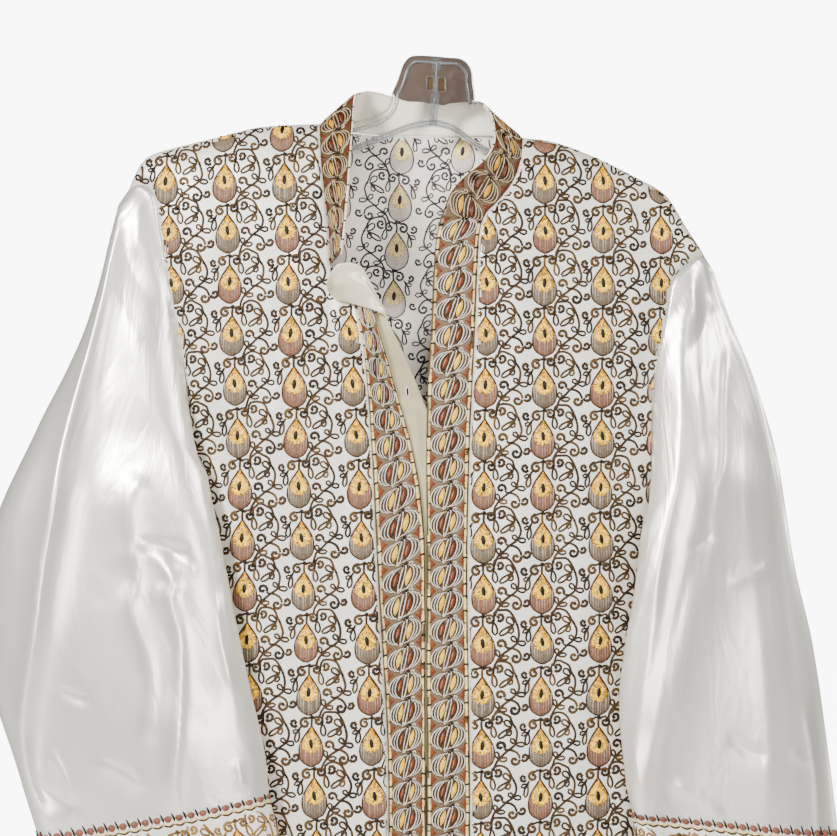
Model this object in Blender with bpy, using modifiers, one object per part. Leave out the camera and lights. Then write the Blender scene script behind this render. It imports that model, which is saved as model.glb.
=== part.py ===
"""Kurta on a clear hanger, open at the neck.

The frame is +Z up with the front of the garment towards -Y. The origin is the top edge of the window
in the hanger's top plate, where a peg or rod carries it. Tables and sizes are in millimetres, and
points are scaled to metres where a mesh is made.
"""
import bpy
import bmesh
from collections import namedtuple
from math import cos, exp, pi, sin, sqrt
from mathutils import Vector

MM = 0.001

# driving sizes, in millimetres
BODY_WALL = 1.5
SLEEVE_WALL = 1.2
COLLAR_WALL = 1.2
FACING_WALL = 1.0
LINING_EASE = 0.45
SEAM_GAP = 0.3
SEAM_HALF = 0.55
SLEEVE_SEAM_SHIFT = 1.1
FRONT_DEPTH = 43.0
BACK_DEPTH = 48.0
SHOULDER_ROUNDING = 64.0
SIDE_POWER = 3.0
NECK_RISE = 200.0
BODY_MIDDLE_X = -18.0
HEM_Z = -1045.0
SLIT_TOP_Z = -790.0
SLIT_OPENING = 5.0
CUFF_HEIGHT = 70.0
COLLAR_HEIGHT = 36.0
SHOULDER_TIP_START = 150.0
SHOULDER_TIP_SPAN = 70.0
OPEN_EDGE_LIFT = 24.0
OPEN_EDGE_START_X = -98.0
OPEN_EDGE_SPAN_X = 46.0
OPEN_EDGE_Z = -216.0
OPEN_EDGE_HALF_HEIGHT = 74.0
UNDERLAP_START_SHARE = 0.9
UNDERLAP_OPEN_ROW = 9.1
UNDERLAP_OPEN_ROWS = 2.2
UNDERLAP_OPEN_DEPTH = 2.8
ARMHOLE_ROWS = 12
PANEL_ROWS = 24

COLLECTION = bpy.data.collections.new("kurta")


def table(columns, *rows):
    """Rows of numbers under named columns."""
    row_type = namedtuple("Row", columns)
    return [row_type(*row) for row in rows]


# shoulder seam of each side, from the tip to the neck
SHOULDER_LINE = table(
    "x z",
    (-330, -175), (-290, -122), (-281, -103), (-272, -83), (-262, -73), (-243, -67), (-203, -57),
    (-154, -46), (-106, -44), (0, -48), (79, -56.5), (105, -60), (140, -72), (182, -92.5),
    (210, -109), (230, -140), (246, -165), (262, -200), (300, -270),
)

# where the body turns round to its side seam, above and below the armholes
BODY_SIDES = table(
    "z left right",
    (-40, -335, 305), (-103, -322, 300), (-165, -302, 285), (-250, -272, 256), (-300, -257, 238),
    (-352, -238, 221), (-395, -241, 209), (-700, -268, 239), (HEM_Z, -292, 268),
)

# front panels, by row: the outer edge follows the armhole to row 12 and the side seam below it,
# and the inner edge follows the neck seam and then the seam of the front band
FRONT_LEFT = table(
    "row outer_x outer_z inner_x inner_z",
    (0, -281, -103, -106, -44), (1, -273, -101, -106, -48.5), (2, -265, -102, -105.8, -54),
    (3, -257.5, -109, -105.2, -66), (4, -254, -124, -104, -84), (5, -251, -146, -101.5, -106),
    (6, -247, -171, -98.5, -131), (7, -242, -198, -96, -157), (8, -236.5, -226, -95, -186),
    (9, -231, -256, -86, -212), (10, -227, -288, -75, -250), (11, -228, -322, -66, -290),
    (12, -238, -352, -60.5, -335), (14, -242, -440, -53, -450), (18, -264, -650, -43, -655),
    (24, -292, HEM_Z, -43, HEM_Z),
)
FRONT_RIGHT = table(
    "row outer_x outer_z inner_x inner_z",
    (0, 246, -165, 79, -56.5), (1, 239, -167.5, 79, -60), (2, 232, -172, 78.5, -66),
    (3, 223, -180, 77, -78), (4, 216, -188.5, 73, -92), (5, 212.5, -203, 66, -105),
    (6, 209.5, -222, 55, -118.5), (7, 205.5, -243, 44.5, -130), (8, 201, -268, 39.5, -147),
    (9, 198, -296, 37, -190), (10, 197, -326, 35, -240), (11, 199, -361, 32.5, -290),
    (12, 209, -395, 30, -345), (14, 215, -470, 28, -450), (18, 235, -665, 30.5, -655),
    (24, 268, HEM_Z, 31, HEM_Z),
)
# back panel, by row: both armholes and side seams
BACK = table(
    "row left_x left_z right_x right_z",
    (0, -281, -103, 246, -165), (1, -276, -102, 241, -167), (2, -271, -104, 235, -171),
    (3, -266, -112, 229, -178), (4, -263, -126, 223, -188), (5, -260, -148, 219, -203),
    (6, -256, -173, 216, -222), (7, -251, -200, 212, -243), (8, -246, -228, 208, -268),
    (9, -241, -258, 204.5, -296), (10, -237, -290, 202, -327), (11, -235, -323, 203, -362),
    (12, -238, -352, 209, -395), (14, -242, -440, 215, -470), (18, -264, -650, 235, -665),
    (24, -292, HEM_Z, 268, HEM_Z),
)
# back neck seam, between the neck ends of the two shoulder seams
BACK_NECK = table(
    "x z",
    (-106, -44), (-90, -47), (-60, -49.5), (0, -50.5), (40, -51), (65, -53.5), (79, -56.5),
)

# right edge of the left band, which hangs open above row 14
LEFT_BAND_EDGE = table(
    "row x z",
    (8.9, -57, -214), (10, -45, -257), (11, -34, -296), (12, -23, -335), (13, -14.5, -378),
    (14, -9.8, -440), (18, -9.6, -655), (24, -8.6, HEM_Z),
)
RIGHT_BAND_EDGE = table(
    "row x z",
    (7.5, 2.5, -139), (8, 0, -150), (9, -3, -190), (10, -5, -240), (11, -8, -290), (12, -9, -345),
    (14, -8.6, -450), (18, -8.4, -655), (24, -7.4, HEM_Z),
)

# soft vertical folds of the hanging cloth: x at the start and at the hem, height of the start,
# half width, depth at the hem
FRONT_FOLDS = table(
    "x_top x_hem z_top half_width depth",
    (-205, -236, -560, 28, 14), (-150, -168, -520, 26, -10), (-96, -104, -600, 24, 8),
    (72, 80, -560, 26, 9), (128, 142, -500, 28, -12), (186, 208, -600, 28, 14),
)
BACK_FOLDS = table(
    "x_top x_hem z_top half_width depth",
    (-196, -232, -420, 30, 15), (-138, -160, -360, 28, -14), (-70, -84, -460, 32, 11),
    (4, 2, -330, 28, -14), (66, 78, -480, 30, 13), (122, 140, -400, 28, -12), (176, 206, -460, 30, 15),
)

# top edge of the collar, by station: 0 to 8 up the left front, 8 to 18 round the back,
# 18 to 26 down the right. lean is how far the rest of the collar's height goes forward (-1) or back (+1)
COLLAR_TOP = table(
    "station x z lean",
    (0, -87, -168, -0.95), (1, -84, -154, -0.9), (2, -81.5, -127, -0.9), (3, -79.3, -99, -0.8),
    (4, -78, -74, -0.7), (5, -76.5, -50, -0.5), (6, -76, -36, -0.3), (7, -75.5, -25, 0),
    (8, -74, -16, 0), (10, -60, -10, -0.2), (13, -22, -17.5, -0.3), (15, 12, -19, -0.3),
    (17, 40, -22, -0.2), (18, 50.5, -34, 0), (20, 53.5, -50, -0.2), (21, 53.5, -61, -0.6),
    (22, 49, -74, -0.6), (23, 39, -84.5, -0.6), (24, 27, -94, -0.7), (25, 12.5, -111, -0.5),
    (26, 4, -134, -0.4),
)

# sleeves, by row: the outer edge, the inner edge and half the depth of the hanging tube
SLEEVE_LEFT = table(
    "row outer_x outer_y outer_z inner_x inner_y inner_z half_depth",
    (1, -291, -1, -118, -241, -9, -354, 13), (2, -300, -2, -155, -232, -19, -352, 15),
    (3, -306, -3, -182, -219, -26, -348, 16), (4, -320, -5, -230, -208, -32, -362, 16),
    (5, -337, -8, -270, -202, -37, -388, 16), (6, -363, -11, -322, -194, -42, -422, 16),
    (8, -405, -16, -430, -180, -47, -492, 15), (10, -408, -19, -520, -168, -50, -548, 15),
    (13, -376, -22, -642, -151.5, -52, -625, 16), (14, -360, -23, -693, -149.5, -53, -651, 16),
)
SLEEVE_RIGHT = table(
    "row outer_x outer_y outer_z inner_x inner_y inner_z half_depth",
    (1, 255, -1, -180, 212, -9, -398, 13), (2, 263, -2, -206, 204, -19, -399, 15),
    (3, 271, -3, -228, 192, -27, -397, 16), (4, 285, -5, -262, 186, -33, -412, 16),
    (5, 299, -8, -304, 182, -38, -438, 16), (6, 310, -11, -345, 178, -43, -468, 16),
    (8, 326, -16, -448, 168, -48, -524, 15), (10, 342, -19, -520, 163.5, -50, -566, 15),
    (13, 358.5, -22, -640, 169.5, -52, -640, 16), (14, 364.5, -23, -691, 175.5, -53, -668, 16),
)
# the front of the tube runs straight from the armhole seam to this row
CAP_ROW = 4.0
# large creases of the sleeves, raised outward: angle round the tube from the outer edge (0.25 is the middle
# of the front), where each starts and ends down the sleeve, half width as a share of the turn, height
LEFT_CREASES = table(
    "turn_top turn_end row_top row_end half_width height",
    (0.10, 0.09, 4, 14, 0.05, 4.5), (0.29, 0.36, 3, 12, 0.05, -4.0), (0.20, 0.22, 6, 15, 0.06, 3.0),
    (0.42, 0.42, 6, 14, 0.05, 3.0), (0.66, 0.62, 3, 14, 0.06, -4.0), (0.80, 0.84, 5, 15, 0.06, 4.0),
)
RIGHT_CREASES = table(
    "turn_top turn_end row_top row_end half_width height",
    (0.20, 0.40, 2, 14, 0.05, 4.5), (0.30, 0.44, 4, 13, 0.05, -4.0), (0.12, 0.16, 7, 15, 0.06, 3.5),
    (0.64, 0.60, 3, 14, 0.06, -4.0), (0.82, 0.86, 5, 15, 0.06, 4.0),
)

# turned-back top of the left facing: its upper edge and its lower, front edge
FLAP = table(
    "upper_x upper_y upper_z lower_x lower_z lift",
    (-97.4, -66, -195, -98, -199, 4), (-93, -69, -184, -91, -207, 5), (-86, -71, -177, -82, -210, 6.5),
    (-76, -70, -176, -74, -212.3, 6), (-66.5, -67, -179.5, -65, -215, 3.4),
    (-59, -63, -192, -56.8, -217.5, 1.15), (-51.3, -60, -207, -49.5, -220, 1.1),
    (-43.2, -57.5, -220.5, -43.8, -223.5, 1),
)
# placket strip of the left front: its free edge, which passes under the right band
UNDERLAP = table(
    "row free_x free_z",
    (9.06, -46.5, -220.5), (10, -28.5, -257), (11, -10.5, -300), (12, 5, -338), (13, 13, -380),
    (14, 17, -440), (17.5, 17, -630),
)

# hanger: plate outline, its window and the line along the top of each arm
PLATE_THICKNESS = 4.0
PLATE_OUTLINE = table("x z", (-39, -23), (-33, 2), (-22, 17), (21, 16), (32, 2), (35, -23), (0, -26))
WINDOW = table("x_low x_high z_low z_high", (-9.2, -2.2, -16.5, 0), (1.6, 9.2, -16.3, -0.2))
ARM_DEPTH = 3.0
ARM_HALF_WIDTH = 2.6
HANGER_ARM = table(
    "x z",
    (-250, -71.1), (-238, -67.6), (-215, -62.6), (-180, -63.5), (-140, -68), (-105, -68), (-74, -63),
    (-48, -53), (-24, -43.5), (-4, -40), (12, -43), (26, -52), (42, -63), (62, -72), (90, -80),
    (122, -88), (155, -94), (180, -97.1), (196, -103.9), (205, -111.2),
)
STEM = table("z half_width", (-46, 3.2), (-24, 3.4), (-19.5, 2.8))


def remove_scene_objects():
    for thing in list(bpy.data.objects):
        bpy.data.objects.remove(thing, do_unlink=True)


def read(rows, key, column, at):
    """Value of a column at a key, through the rows on a smooth curve that keeps between them."""
    keys = [getattr(row, key) for row in rows]
    values = [getattr(row, column) for row in rows]
    if keys[0] > keys[-1]:
        keys.reverse()
        values.reverse()
    if at <= keys[0]:
        return float(values[0])
    if at >= keys[-1]:
        return float(values[-1])
    i = max(k for k in range(len(keys) - 1) if keys[k] <= at)
    steps = [(values[k + 1] - values[k]) / (keys[k + 1] - keys[k]) for k in range(len(keys) - 1)]

    def slope(k):
        if k == 0:
            return steps[0]
        if k == len(steps):
            return steps[-1]
        if steps[k - 1] * steps[k] <= 0:
            return 0.0
        return 2 * steps[k - 1] * steps[k] / (steps[k - 1] + steps[k])

    span = keys[i + 1] - keys[i]
    t = (at - keys[i]) / span
    low, high = values[i], values[i + 1]
    rise = t * t * (3 - 2 * t)
    tangent_low = span * slope(i) * t * (1 - t) ** 2
    tangent_high = span * slope(i + 1) * t * t * (t - 1)
    return low + (high - low) * rise + tangent_low + tangent_high


def smooth_step(value):
    t = min(1.0, max(0.0, value))
    return t * t * (3 - 2 * t)


def bell(value):
    return exp(-value * value)


def mix(a, b, share):
    return a + (b - a) * share


def side_share(x, z):
    """1 in the middle of the body, falling to 0 where front and back meet at the side."""
    left, right = read(BODY_SIDES, "z", "left", z), read(BODY_SIDES, "z", "right", z)
    across = abs((x - (left + right) / 2) / ((right - left) / 2))
    return max(0.0, 1 - min(1.0, across) ** SIDE_POWER)


def fold_depth(folds, x, z):
    total = 0.0
    for fold in folds:
        down = (fold.z_top - z) / (fold.z_top - HEM_Z)
        if down > 0:
            middle = mix(fold.x_top, fold.x_hem, down)
            total += fold.depth * smooth_step(down) * bell((x - middle) / fold.half_width)
    return total


def depth_below(drop, depth):
    return depth * (1 - exp(-sqrt(max(0.0, drop) / SHOULDER_ROUNDING)))


def seam_clearance(x, z, drop):
    """How far a panel's face stays from the plane where front and back are sewn."""
    near_tip = smooth_step((abs(x - BODY_MIDDLE_X) - SHOULDER_TIP_START) / SHOULDER_TIP_SPAN)
    closed = mix(SEAM_HALF, BODY_WALL + SEAM_GAP, max(near_tip, smooth_step(drop / 10)))
    return closed + SLIT_OPENING * smooth_step((SLIT_TOP_Z - z) / 120)


def open_edge_lift(x, z):
    """The top of the left front hangs open and leans forward."""
    share_in = smooth_step((x - OPEN_EDGE_START_X) / OPEN_EDGE_SPAN_X)
    return OPEN_EDGE_LIFT * share_in * bell((z - OPEN_EDGE_Z) / OPEN_EDGE_HALF_HEIGHT)


def front_y(x, z, left_side=False):
    drop = read(SHOULDER_LINE, "x", "z", x) - z
    depth = depth_below(drop, FRONT_DEPTH) * side_share(x, z)
    depth += fold_depth(FRONT_FOLDS, x, z) * side_share(x, z)
    if left_side:
        depth += open_edge_lift(x, z)
    return -depth - seam_clearance(x, z, drop)


def back_y(x, z):
    neck_left, neck_right = BACK_NECK[0].x, BACK_NECK[-1].x
    rise = 0.0
    if neck_left < x < neck_right:
        rise = NECK_RISE * sin(pi * (x - neck_left) / (neck_right - neck_left)) ** 2
    drop = read(SHOULDER_LINE, "x", "z", x) + rise - z
    depth = depth_below(drop, BACK_DEPTH) + fold_depth(BACK_FOLDS, x, z)
    return depth * side_share(x, z) + seam_clearance(x, z, drop)


def new_object(name, mesh, colour, roughness, metallic=0.0):
    thing = bpy.data.objects.new(name, mesh)
    COLLECTION.objects.link(thing)
    material = bpy.data.materials.new(name)
    material.use_nodes = True
    shader = material.node_tree.nodes["Principled BSDF"]
    shader.inputs["Base Color"].default_value = (*colour, 1)
    shader.inputs["Roughness"].default_value = roughness
    shader.inputs["Metallic"].default_value = metallic
    mesh.materials.append(material)
    return thing


def grid_mesh(name, grid, closed=False, outward=None):
    """Quads over rows of points; closed joins each row's ends, outward is what the faces turn to."""
    bm = bmesh.new()
    rows = [[bm.verts.new(Vector(point) * MM) for point in row] for row in grid]
    count = len(grid[0])
    for upper, lower in zip(rows, rows[1:]):
        for i in range(count if closed else count - 1):
            j = (i + 1) % count
            bm.faces.new((upper[i], lower[i], lower[j], upper[j]))
    bm.normal_update()
    if outward is not None:
        facing = sum((face.normal.dot(Vector(outward)) * face.calc_area() for face in bm.faces))
        if facing < 0:
            bmesh.ops.reverse_faces(bm, faces=bm.faces)
    mesh = bpy.data.meshes.new(name)
    bm.to_mesh(mesh)
    bm.free()
    mesh.shade_smooth()
    return mesh


def cloth(name, grid, wall, colour, roughness, closed=False, outward=None):
    """A wall of cloth inward of a grid of points on its outer face."""
    mesh = grid_mesh(name, grid, closed, outward)
    piece = new_object(name, mesh, colour, roughness)
    shell = piece.modifiers.new("wall", "SOLIDIFY")
    shell.thickness = wall * MM
    shell.offset = -1
    return piece


def front_point(rows, row, share, left_side):
    """Point of a front panel at a row and a share from its outer to its inner edge."""
    x = mix(read(rows, "row", "outer_x", row), read(rows, "row", "inner_x", row), share)
    z = mix(read(rows, "row", "outer_z", row), read(rows, "row", "inner_z", row), share)
    top = rows[0]
    top_x = mix(top.outer_x, top.inner_x, share)
    bow = read(SHOULDER_LINE, "x", "z", top_x) - mix(top.outer_z, top.inner_z, share)
    z += bow * (1 - smooth_step(row / ARMHOLE_ROWS))
    return x, front_y(x, z, left_side), z


def back_top(x):
    if BACK_NECK[0].x < x < BACK_NECK[-1].x:
        return read(BACK_NECK, "x", "z", x)
    return read(SHOULDER_LINE, "x", "z", x)


def back_point(row, share):
    x = mix(read(BACK, "row", "left_x", row), read(BACK, "row", "right_x", row), share)
    z = mix(read(BACK, "row", "left_z", row), read(BACK, "row", "right_z", row), share)
    top_x = mix(BACK[0].left_x, BACK[0].right_x, share)
    bow = back_top(top_x) - mix(BACK[0].left_z, BACK[0].right_z, share)
    z += bow * (1 - smooth_step(row / ARMHOLE_ROWS))
    return x, back_y(x, z), z


def steps(low, high, count):
    return [mix(low, high, i / count) for i in range(count + 1)]


PANEL_STEPS = steps(0, ARMHOLE_ROWS, ARMHOLE_ROWS) + steps(ARMHOLE_ROWS, PANEL_ROWS, 10)[1:]
EMBROIDERED = (0.72, 0.68, 0.66)


def build_front(name, rows, left_side):
    shares = steps(0, 1, 12)
    grid = [[front_point(rows, row, share, left_side) for share in shares] for row in PANEL_STEPS]
    return cloth(name, grid, BODY_WALL, EMBROIDERED, 0.6, outward=(0, -1, 0))


def back_shares():
    """Columns of the back, with one at each end of the neck."""
    width = BACK[0].right_x - BACK[0].left_x
    neck_left = (BACK_NECK[0].x - BACK[0].left_x) / width
    neck_right = (BACK_NECK[-1].x - BACK[0].left_x) / width
    return steps(0, neck_left, 7) + steps(neck_left, neck_right, 10)[1:] + steps(neck_right, 1, 7)[1:]


def build_back():
    grid = [[back_point(row, share) for share in back_shares()] for row in PANEL_STEPS]
    return cloth("back", grid, BODY_WALL, EMBROIDERED, 0.6, outward=(0, 1, 0))


def band_point(rows, edge, row, share, left_side):
    """Point of a front band, from the seam with its panel to the free front edge."""
    gap = 2 * SEAM_HALF * (1 if left_side else -1)
    x = mix(read(rows, "row", "inner_x", row) + gap, read(edge, "row", "x", row), share)
    z = mix(read(rows, "row", "inner_z", row), read(edge, "row", "z", row), share)
    return x, front_y(x, z, left_side), z


def build_band(name, rows, edge, left_side):
    first = edge[0].row
    band_rows = [first] + [row for row in PANEL_STEPS if row > first + 0.3]
    shares = steps(0, 1, 3)
    grid = [[band_point(rows, edge, row, share, left_side) for share in shares] for row in band_rows]
    return cloth(name, grid, BODY_WALL, (0.62, 0.42, 0.30), 0.6, outward=(0, -1, 0))


def collar_base(station):
    """Neck seam under the collar, from the left front end round the back to the right front end."""
    if station <= 8:
        return Vector(front_point(FRONT_LEFT, min(8 - station, 7.6), 1, True))
    if station < 18:
        shares = back_shares()[7:18]
        low = int(station - 8)
        share = mix(shares[low], shares[min(low + 1, 10)], station - 8 - low)
        return Vector(back_point(0, share))
    return Vector(front_point(FRONT_RIGHT, min(station - 18, 7.4), 1, False))


def collar_point(station, share, inset=0.0):
    base = collar_base(station)
    top_x, top_z = read(COLLAR_TOP, "station", "x", station), read(COLLAR_TOP, "station", "z", station)
    top = Vector((top_x, base.y, top_z))
    flat = (top - base).length
    spare = sqrt(max(0.0, COLLAR_HEIGHT ** 2 - flat ** 2))
    top.y += spare * read(COLLAR_TOP, "station", "lean", station)
    if station <= 8 or station >= 18:
        base.y = min(base.y, -2.4)
        top.y = min(top.y, -1.0)
    up = (top - base).normalized()
    start = base + up * (2 * SEAM_HALF)
    point = start.lerp(top, share)
    middle = min(24.8, max(1.0, station))
    along = collar_base(middle + 0.5) - collar_base(middle - 0.5)
    outward = up.cross(along).normalized()
    return point - outward * inset


def collar_outline(inset):
    stations = [float(i) for i in range(27)]
    return [[collar_point(station, share, inset) for share in steps(0, 1, 3)] for station in stations]


def ribbon(name, grid, wall, colour, roughness, towards):
    """A strip whose face points away from a point inside it."""
    mesh = grid_mesh(name, grid)
    centre = Vector(towards) * MM
    if sum((face.normal.dot(face.center - centre) for face in mesh.polygons)) < 0:
        mesh.flip_normals()
    piece = new_object(name, mesh, colour, roughness)
    shell = piece.modifiers.new("wall", "SOLIDIFY")
    shell.thickness = wall * MM
    shell.offset = -1
    return piece


def build_collar():
    neck_middle = (-12, 0, -70)
    ribbon("collar", collar_outline(0.0), COLLAR_WALL, (0.55, 0.36, 0.22), 0.6, neck_middle)
    lining_inset = COLLAR_WALL + SEAM_GAP + LINING_EASE
    ribbon("collar_lining", collar_outline(lining_inset), FACING_WALL, (0.88, 0.87, 0.80), 0.4, neck_middle)


def underlap_point(row, share):
    inset = BODY_WALL + SEAM_GAP + 0.4
    start = Vector(band_point(FRONT_LEFT, LEFT_BAND_EDGE, row, UNDERLAP_START_SHARE, True))
    open_share = 1 - smooth_step((row - UNDERLAP_OPEN_ROW) / UNDERLAP_OPEN_ROWS)
    start.y += inset * mix(1, UNDERLAP_OPEN_DEPTH, open_share)
    x, z = read(UNDERLAP, "row", "free_x", row), read(UNDERLAP, "row", "free_z", row)
    free = Vector((x, front_y(x, z) + inset + 0.8, z))
    free.y = mix(free.y, start.y + 1.0, open_share)
    point = start.lerp(free, share)
    beyond = smooth_step((point.x + 17) / 6) * (1 - open_share)
    point.y = mix(point.y, max(point.y, front_y(point.x, point.z) + inset + 0.7), beyond)
    return point


def build_underlap():
    rows = steps(UNDERLAP[0].row, UNDERLAP[-1].row, 14)
    grid = [[underlap_point(row, share) for share in steps(0, 1, 4)] for row in rows]
    return cloth("underlap", grid, FACING_WALL, (0.86, 0.85, 0.76), 0.45, outward=(0, -1, 0))


def build_flap():
    grid = []
    for row in FLAP:
        line = []
        for share in steps(0, 1, 4):
            x = mix(row.upper_x, row.lower_x, share)
            z = mix(row.upper_z, row.lower_z, share)
            lower_y = front_y(row.lower_x, row.lower_z, True) - row.lift
            line.append((x, mix(row.upper_y, lower_y, share ** 1.4), z))
        grid.append(line)
    return cloth("facing_flap", grid, FACING_WALL, (0.90, 0.89, 0.82), 0.45, outward=(0, -1, 0))


def armhole_ring(front_rows, outer_side):
    """Armhole seam: down the front edge to the underarm and up the back edge."""
    name_x, name_z = ("left_x", "left_z") if outer_side < 0 else ("right_x", "right_z")
    ring = [Vector(front_point(front_rows, row, 0, outer_side < 0)) for row in range(ARMHOLE_ROWS + 1)]
    for row in range(ARMHOLE_ROWS - 1, 0, -1):
        x, z = read(BACK, "row", name_x, row), read(BACK, "row", name_z, row)
        ring.append(Vector((x, back_y(x, z), z)))
    ring[0].y = ring[ARMHOLE_ROWS].y = 0
    shifted = []
    for i, point in enumerate(ring):
        along = ring[(i + 1) % len(ring)] - ring[i - 1]
        row = i if i <= ARMHOLE_ROWS else len(ring) - i
        if i <= ARMHOLE_ROWS:
            into_panel = Vector(front_point(front_rows, row, 0.06, outer_side < 0)) - point
        else:
            into_panel = Vector(back_point(row, 0.03 if outer_side < 0 else 0.97)) - point
        into_panel -= along * (into_panel.dot(along) / along.length_squared)
        away = -into_panel.normalized()
        if i == ARMHOLE_ROWS:
            away = Vector((outer_side, 0, 0))
        if i == 0:
            away = Vector((outer_side * 1.3, 0, -1.1))
        shifted.append(point + away * SLEEVE_SEAM_SHIFT)
    return shifted


def sleeve_ring(rows, armhole, creases, row):
    count = len(armhole)
    below_cap = sleeve_ring(rows, armhole, creases, CAP_ROW) if row < CAP_ROW else None
    outer = Vector([read(rows, "row", "outer_" + axis, row) for axis in "xyz"])
    inner = Vector([read(rows, "row", "inner_" + axis, row) for axis in "xyz"])
    half_depth = read(rows, "row", "half_depth", row)
    chord = inner - outer
    forward = Vector((0, -1, 0)) - chord * (Vector((0, -1, 0)).dot(chord) / chord.length_squared)
    forward.normalize()
    ring = []
    for i in range(count):
        turn = i / count
        across = (1 - cos(2 * pi * turn)) / 2
        swell = sin(2 * pi * turn)
        bulge = half_depth * (abs(swell) ** 0.8) * (1 if swell > 0 else -1)
        crease = 0.0
        for fold in creases:
            if fold.row_top < row <= fold.row_end:
                down = (row - fold.row_top) / (fold.row_end - fold.row_top)
                at = mix(fold.turn_top, fold.turn_end, down)
                crease += fold.height * smooth_step(min(1, 3 * down)) * bell((turn - at) / fold.half_width)
        outward_sign = 1 if swell >= 0 else -1
        point = outer + chord * across + forward * (bulge + crease * outward_sign)
        if below_cap and 0 < turn < 0.5:
            straight = armhole[i].lerp(below_cap[i], row / CAP_ROW)
            point = point.lerp(straight, smooth_step((across - 0.15) / 0.5))
        ring.append(point)
    return ring


def build_sleeve(name, rows, front_rows, creases, outer_side):
    armhole = armhole_ring(front_rows, outer_side)
    last = rows[-1].row
    grid = [armhole] + [sleeve_ring(rows, armhole, creases, row) for row in steps(1, last, 14)]
    piece = cloth(name, grid, SLEEVE_WALL, (0.90, 0.90, 0.87), 0.35, closed=True)
    return piece, grid[-1], grid[-2]


def build_cuff(name, seam, above, colour):
    """Embroidered end of the sleeve, which runs on below the seam ring."""
    middle = sum(seam, Vector()) / len(seam)
    slope = (middle - sum(above, Vector()) / len(above)).normalized()
    grid = []
    for down in (SEAM_GAP + 0.05, CUFF_HEIGHT / 2, CUFF_HEIGHT):
        flare = 1 + 0.02 * down / CUFF_HEIGHT
        grid.append([middle + (point - middle) * flare + slope * down for point in seam])
    return cloth(name, grid, BODY_WALL, colour, 0.6, closed=True)


def face_outward(piece):
    """Turn a tube's faces away from its middle line."""
    mesh = piece.data
    middle = sum((vertex.co for vertex in mesh.vertices), Vector()) / len(mesh.vertices)
    facing = 0.0
    for face in mesh.polygons:
        away = face.center - middle
        away.z = 0
        away.x = 0
        facing += face.normal.dot(away) * face.area
    if facing < 0:
        mesh.flip_normals()


def build_sleeves():
    sides = (
        ("left", SLEEVE_LEFT, FRONT_LEFT, LEFT_CREASES, -1),
        ("right", SLEEVE_RIGHT, FRONT_RIGHT, RIGHT_CREASES, 1),
    )
    for side, rows, front_rows, creases, outer_side in sides:
        sleeve, seam, above = build_sleeve("sleeve_" + side, rows, front_rows, creases, outer_side)
        cuff = build_cuff("cuff_" + side, seam, above, (0.85, 0.80, 0.66))
        face_outward(sleeve)
        face_outward(cuff)


def plate_blank():
    """Top plate of the hanger, a filled outline with two window openings."""
    curve = bpy.data.curves.new("plate", "CURVE")
    curve.dimensions = "2D"
    curve.fill_mode = "BOTH"
    curve.extrude = PLATE_THICKNESS / 2 * MM
    outlines = [[(row.x, row.z) for row in PLATE_OUTLINE]]
    for row in WINDOW:
        low, high = row.z_low, row.z_high
        outlines.append([(row.x_low, low), (row.x_high, low), (row.x_high, high), (row.x_low, high)])
    for outline in outlines:
        spline = curve.splines.new("POLY")
        spline.points.add(len(outline) - 1)
        spline.use_cyclic_u = True
        for point, (x, z) in zip(spline.points, outline):
            point.co = (x * MM, z * MM, 0, 1)
    thing = bpy.data.objects.new("plate_outline", curve)
    COLLECTION.objects.link(thing)
    thing.rotation_euler = (pi / 2, 0, 0)
    bpy.context.view_layer.update()
    mesh = bpy.data.meshes.new_from_object(thing.evaluated_get(bpy.context.evaluated_depsgraph_get()))
    mesh.transform(thing.matrix_world)
    bpy.data.objects.remove(thing, do_unlink=True)
    bm = bmesh.new()
    bm.from_mesh(mesh)
    bmesh.ops.remove_doubles(bm, verts=bm.verts, dist=1e-6)
    bmesh.ops.recalc_face_normals(bm, faces=bm.faces)
    bm.to_mesh(mesh)
    bm.free()
    return mesh


def swept_bar(name, sections):
    """Closed bar through rings of points."""
    bm = bmesh.new()
    rings = [[bm.verts.new(Vector(point) * MM) for point in ring] for ring in sections]
    count = len(sections[0])
    for ring, following in zip(rings, rings[1:]):
        for i in range(count):
            j = (i + 1) % count
            bm.faces.new((ring[i], following[i], following[j], ring[j]))
    bm.faces.new(rings[0])
    bm.faces.new(rings[-1])
    bmesh.ops.recalc_face_normals(bm, faces=bm.faces)
    mesh = bpy.data.meshes.new(name)
    bm.to_mesh(mesh)
    bm.free()
    return mesh


def rounded_section(middle, along, half_width, half_depth):
    """Eight points of a flattened bar, square to its direction in the plane of the shoulders."""
    upward = Vector((-along.z, 0, along.x)).normalized()
    ring = []
    for i in range(8):
        angle = 2 * pi * (i + 0.5) / 8
        ring.append(middle + upward * half_depth * cos(angle) + Vector((0, half_width * sin(angle), 0)))
    return ring


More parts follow.
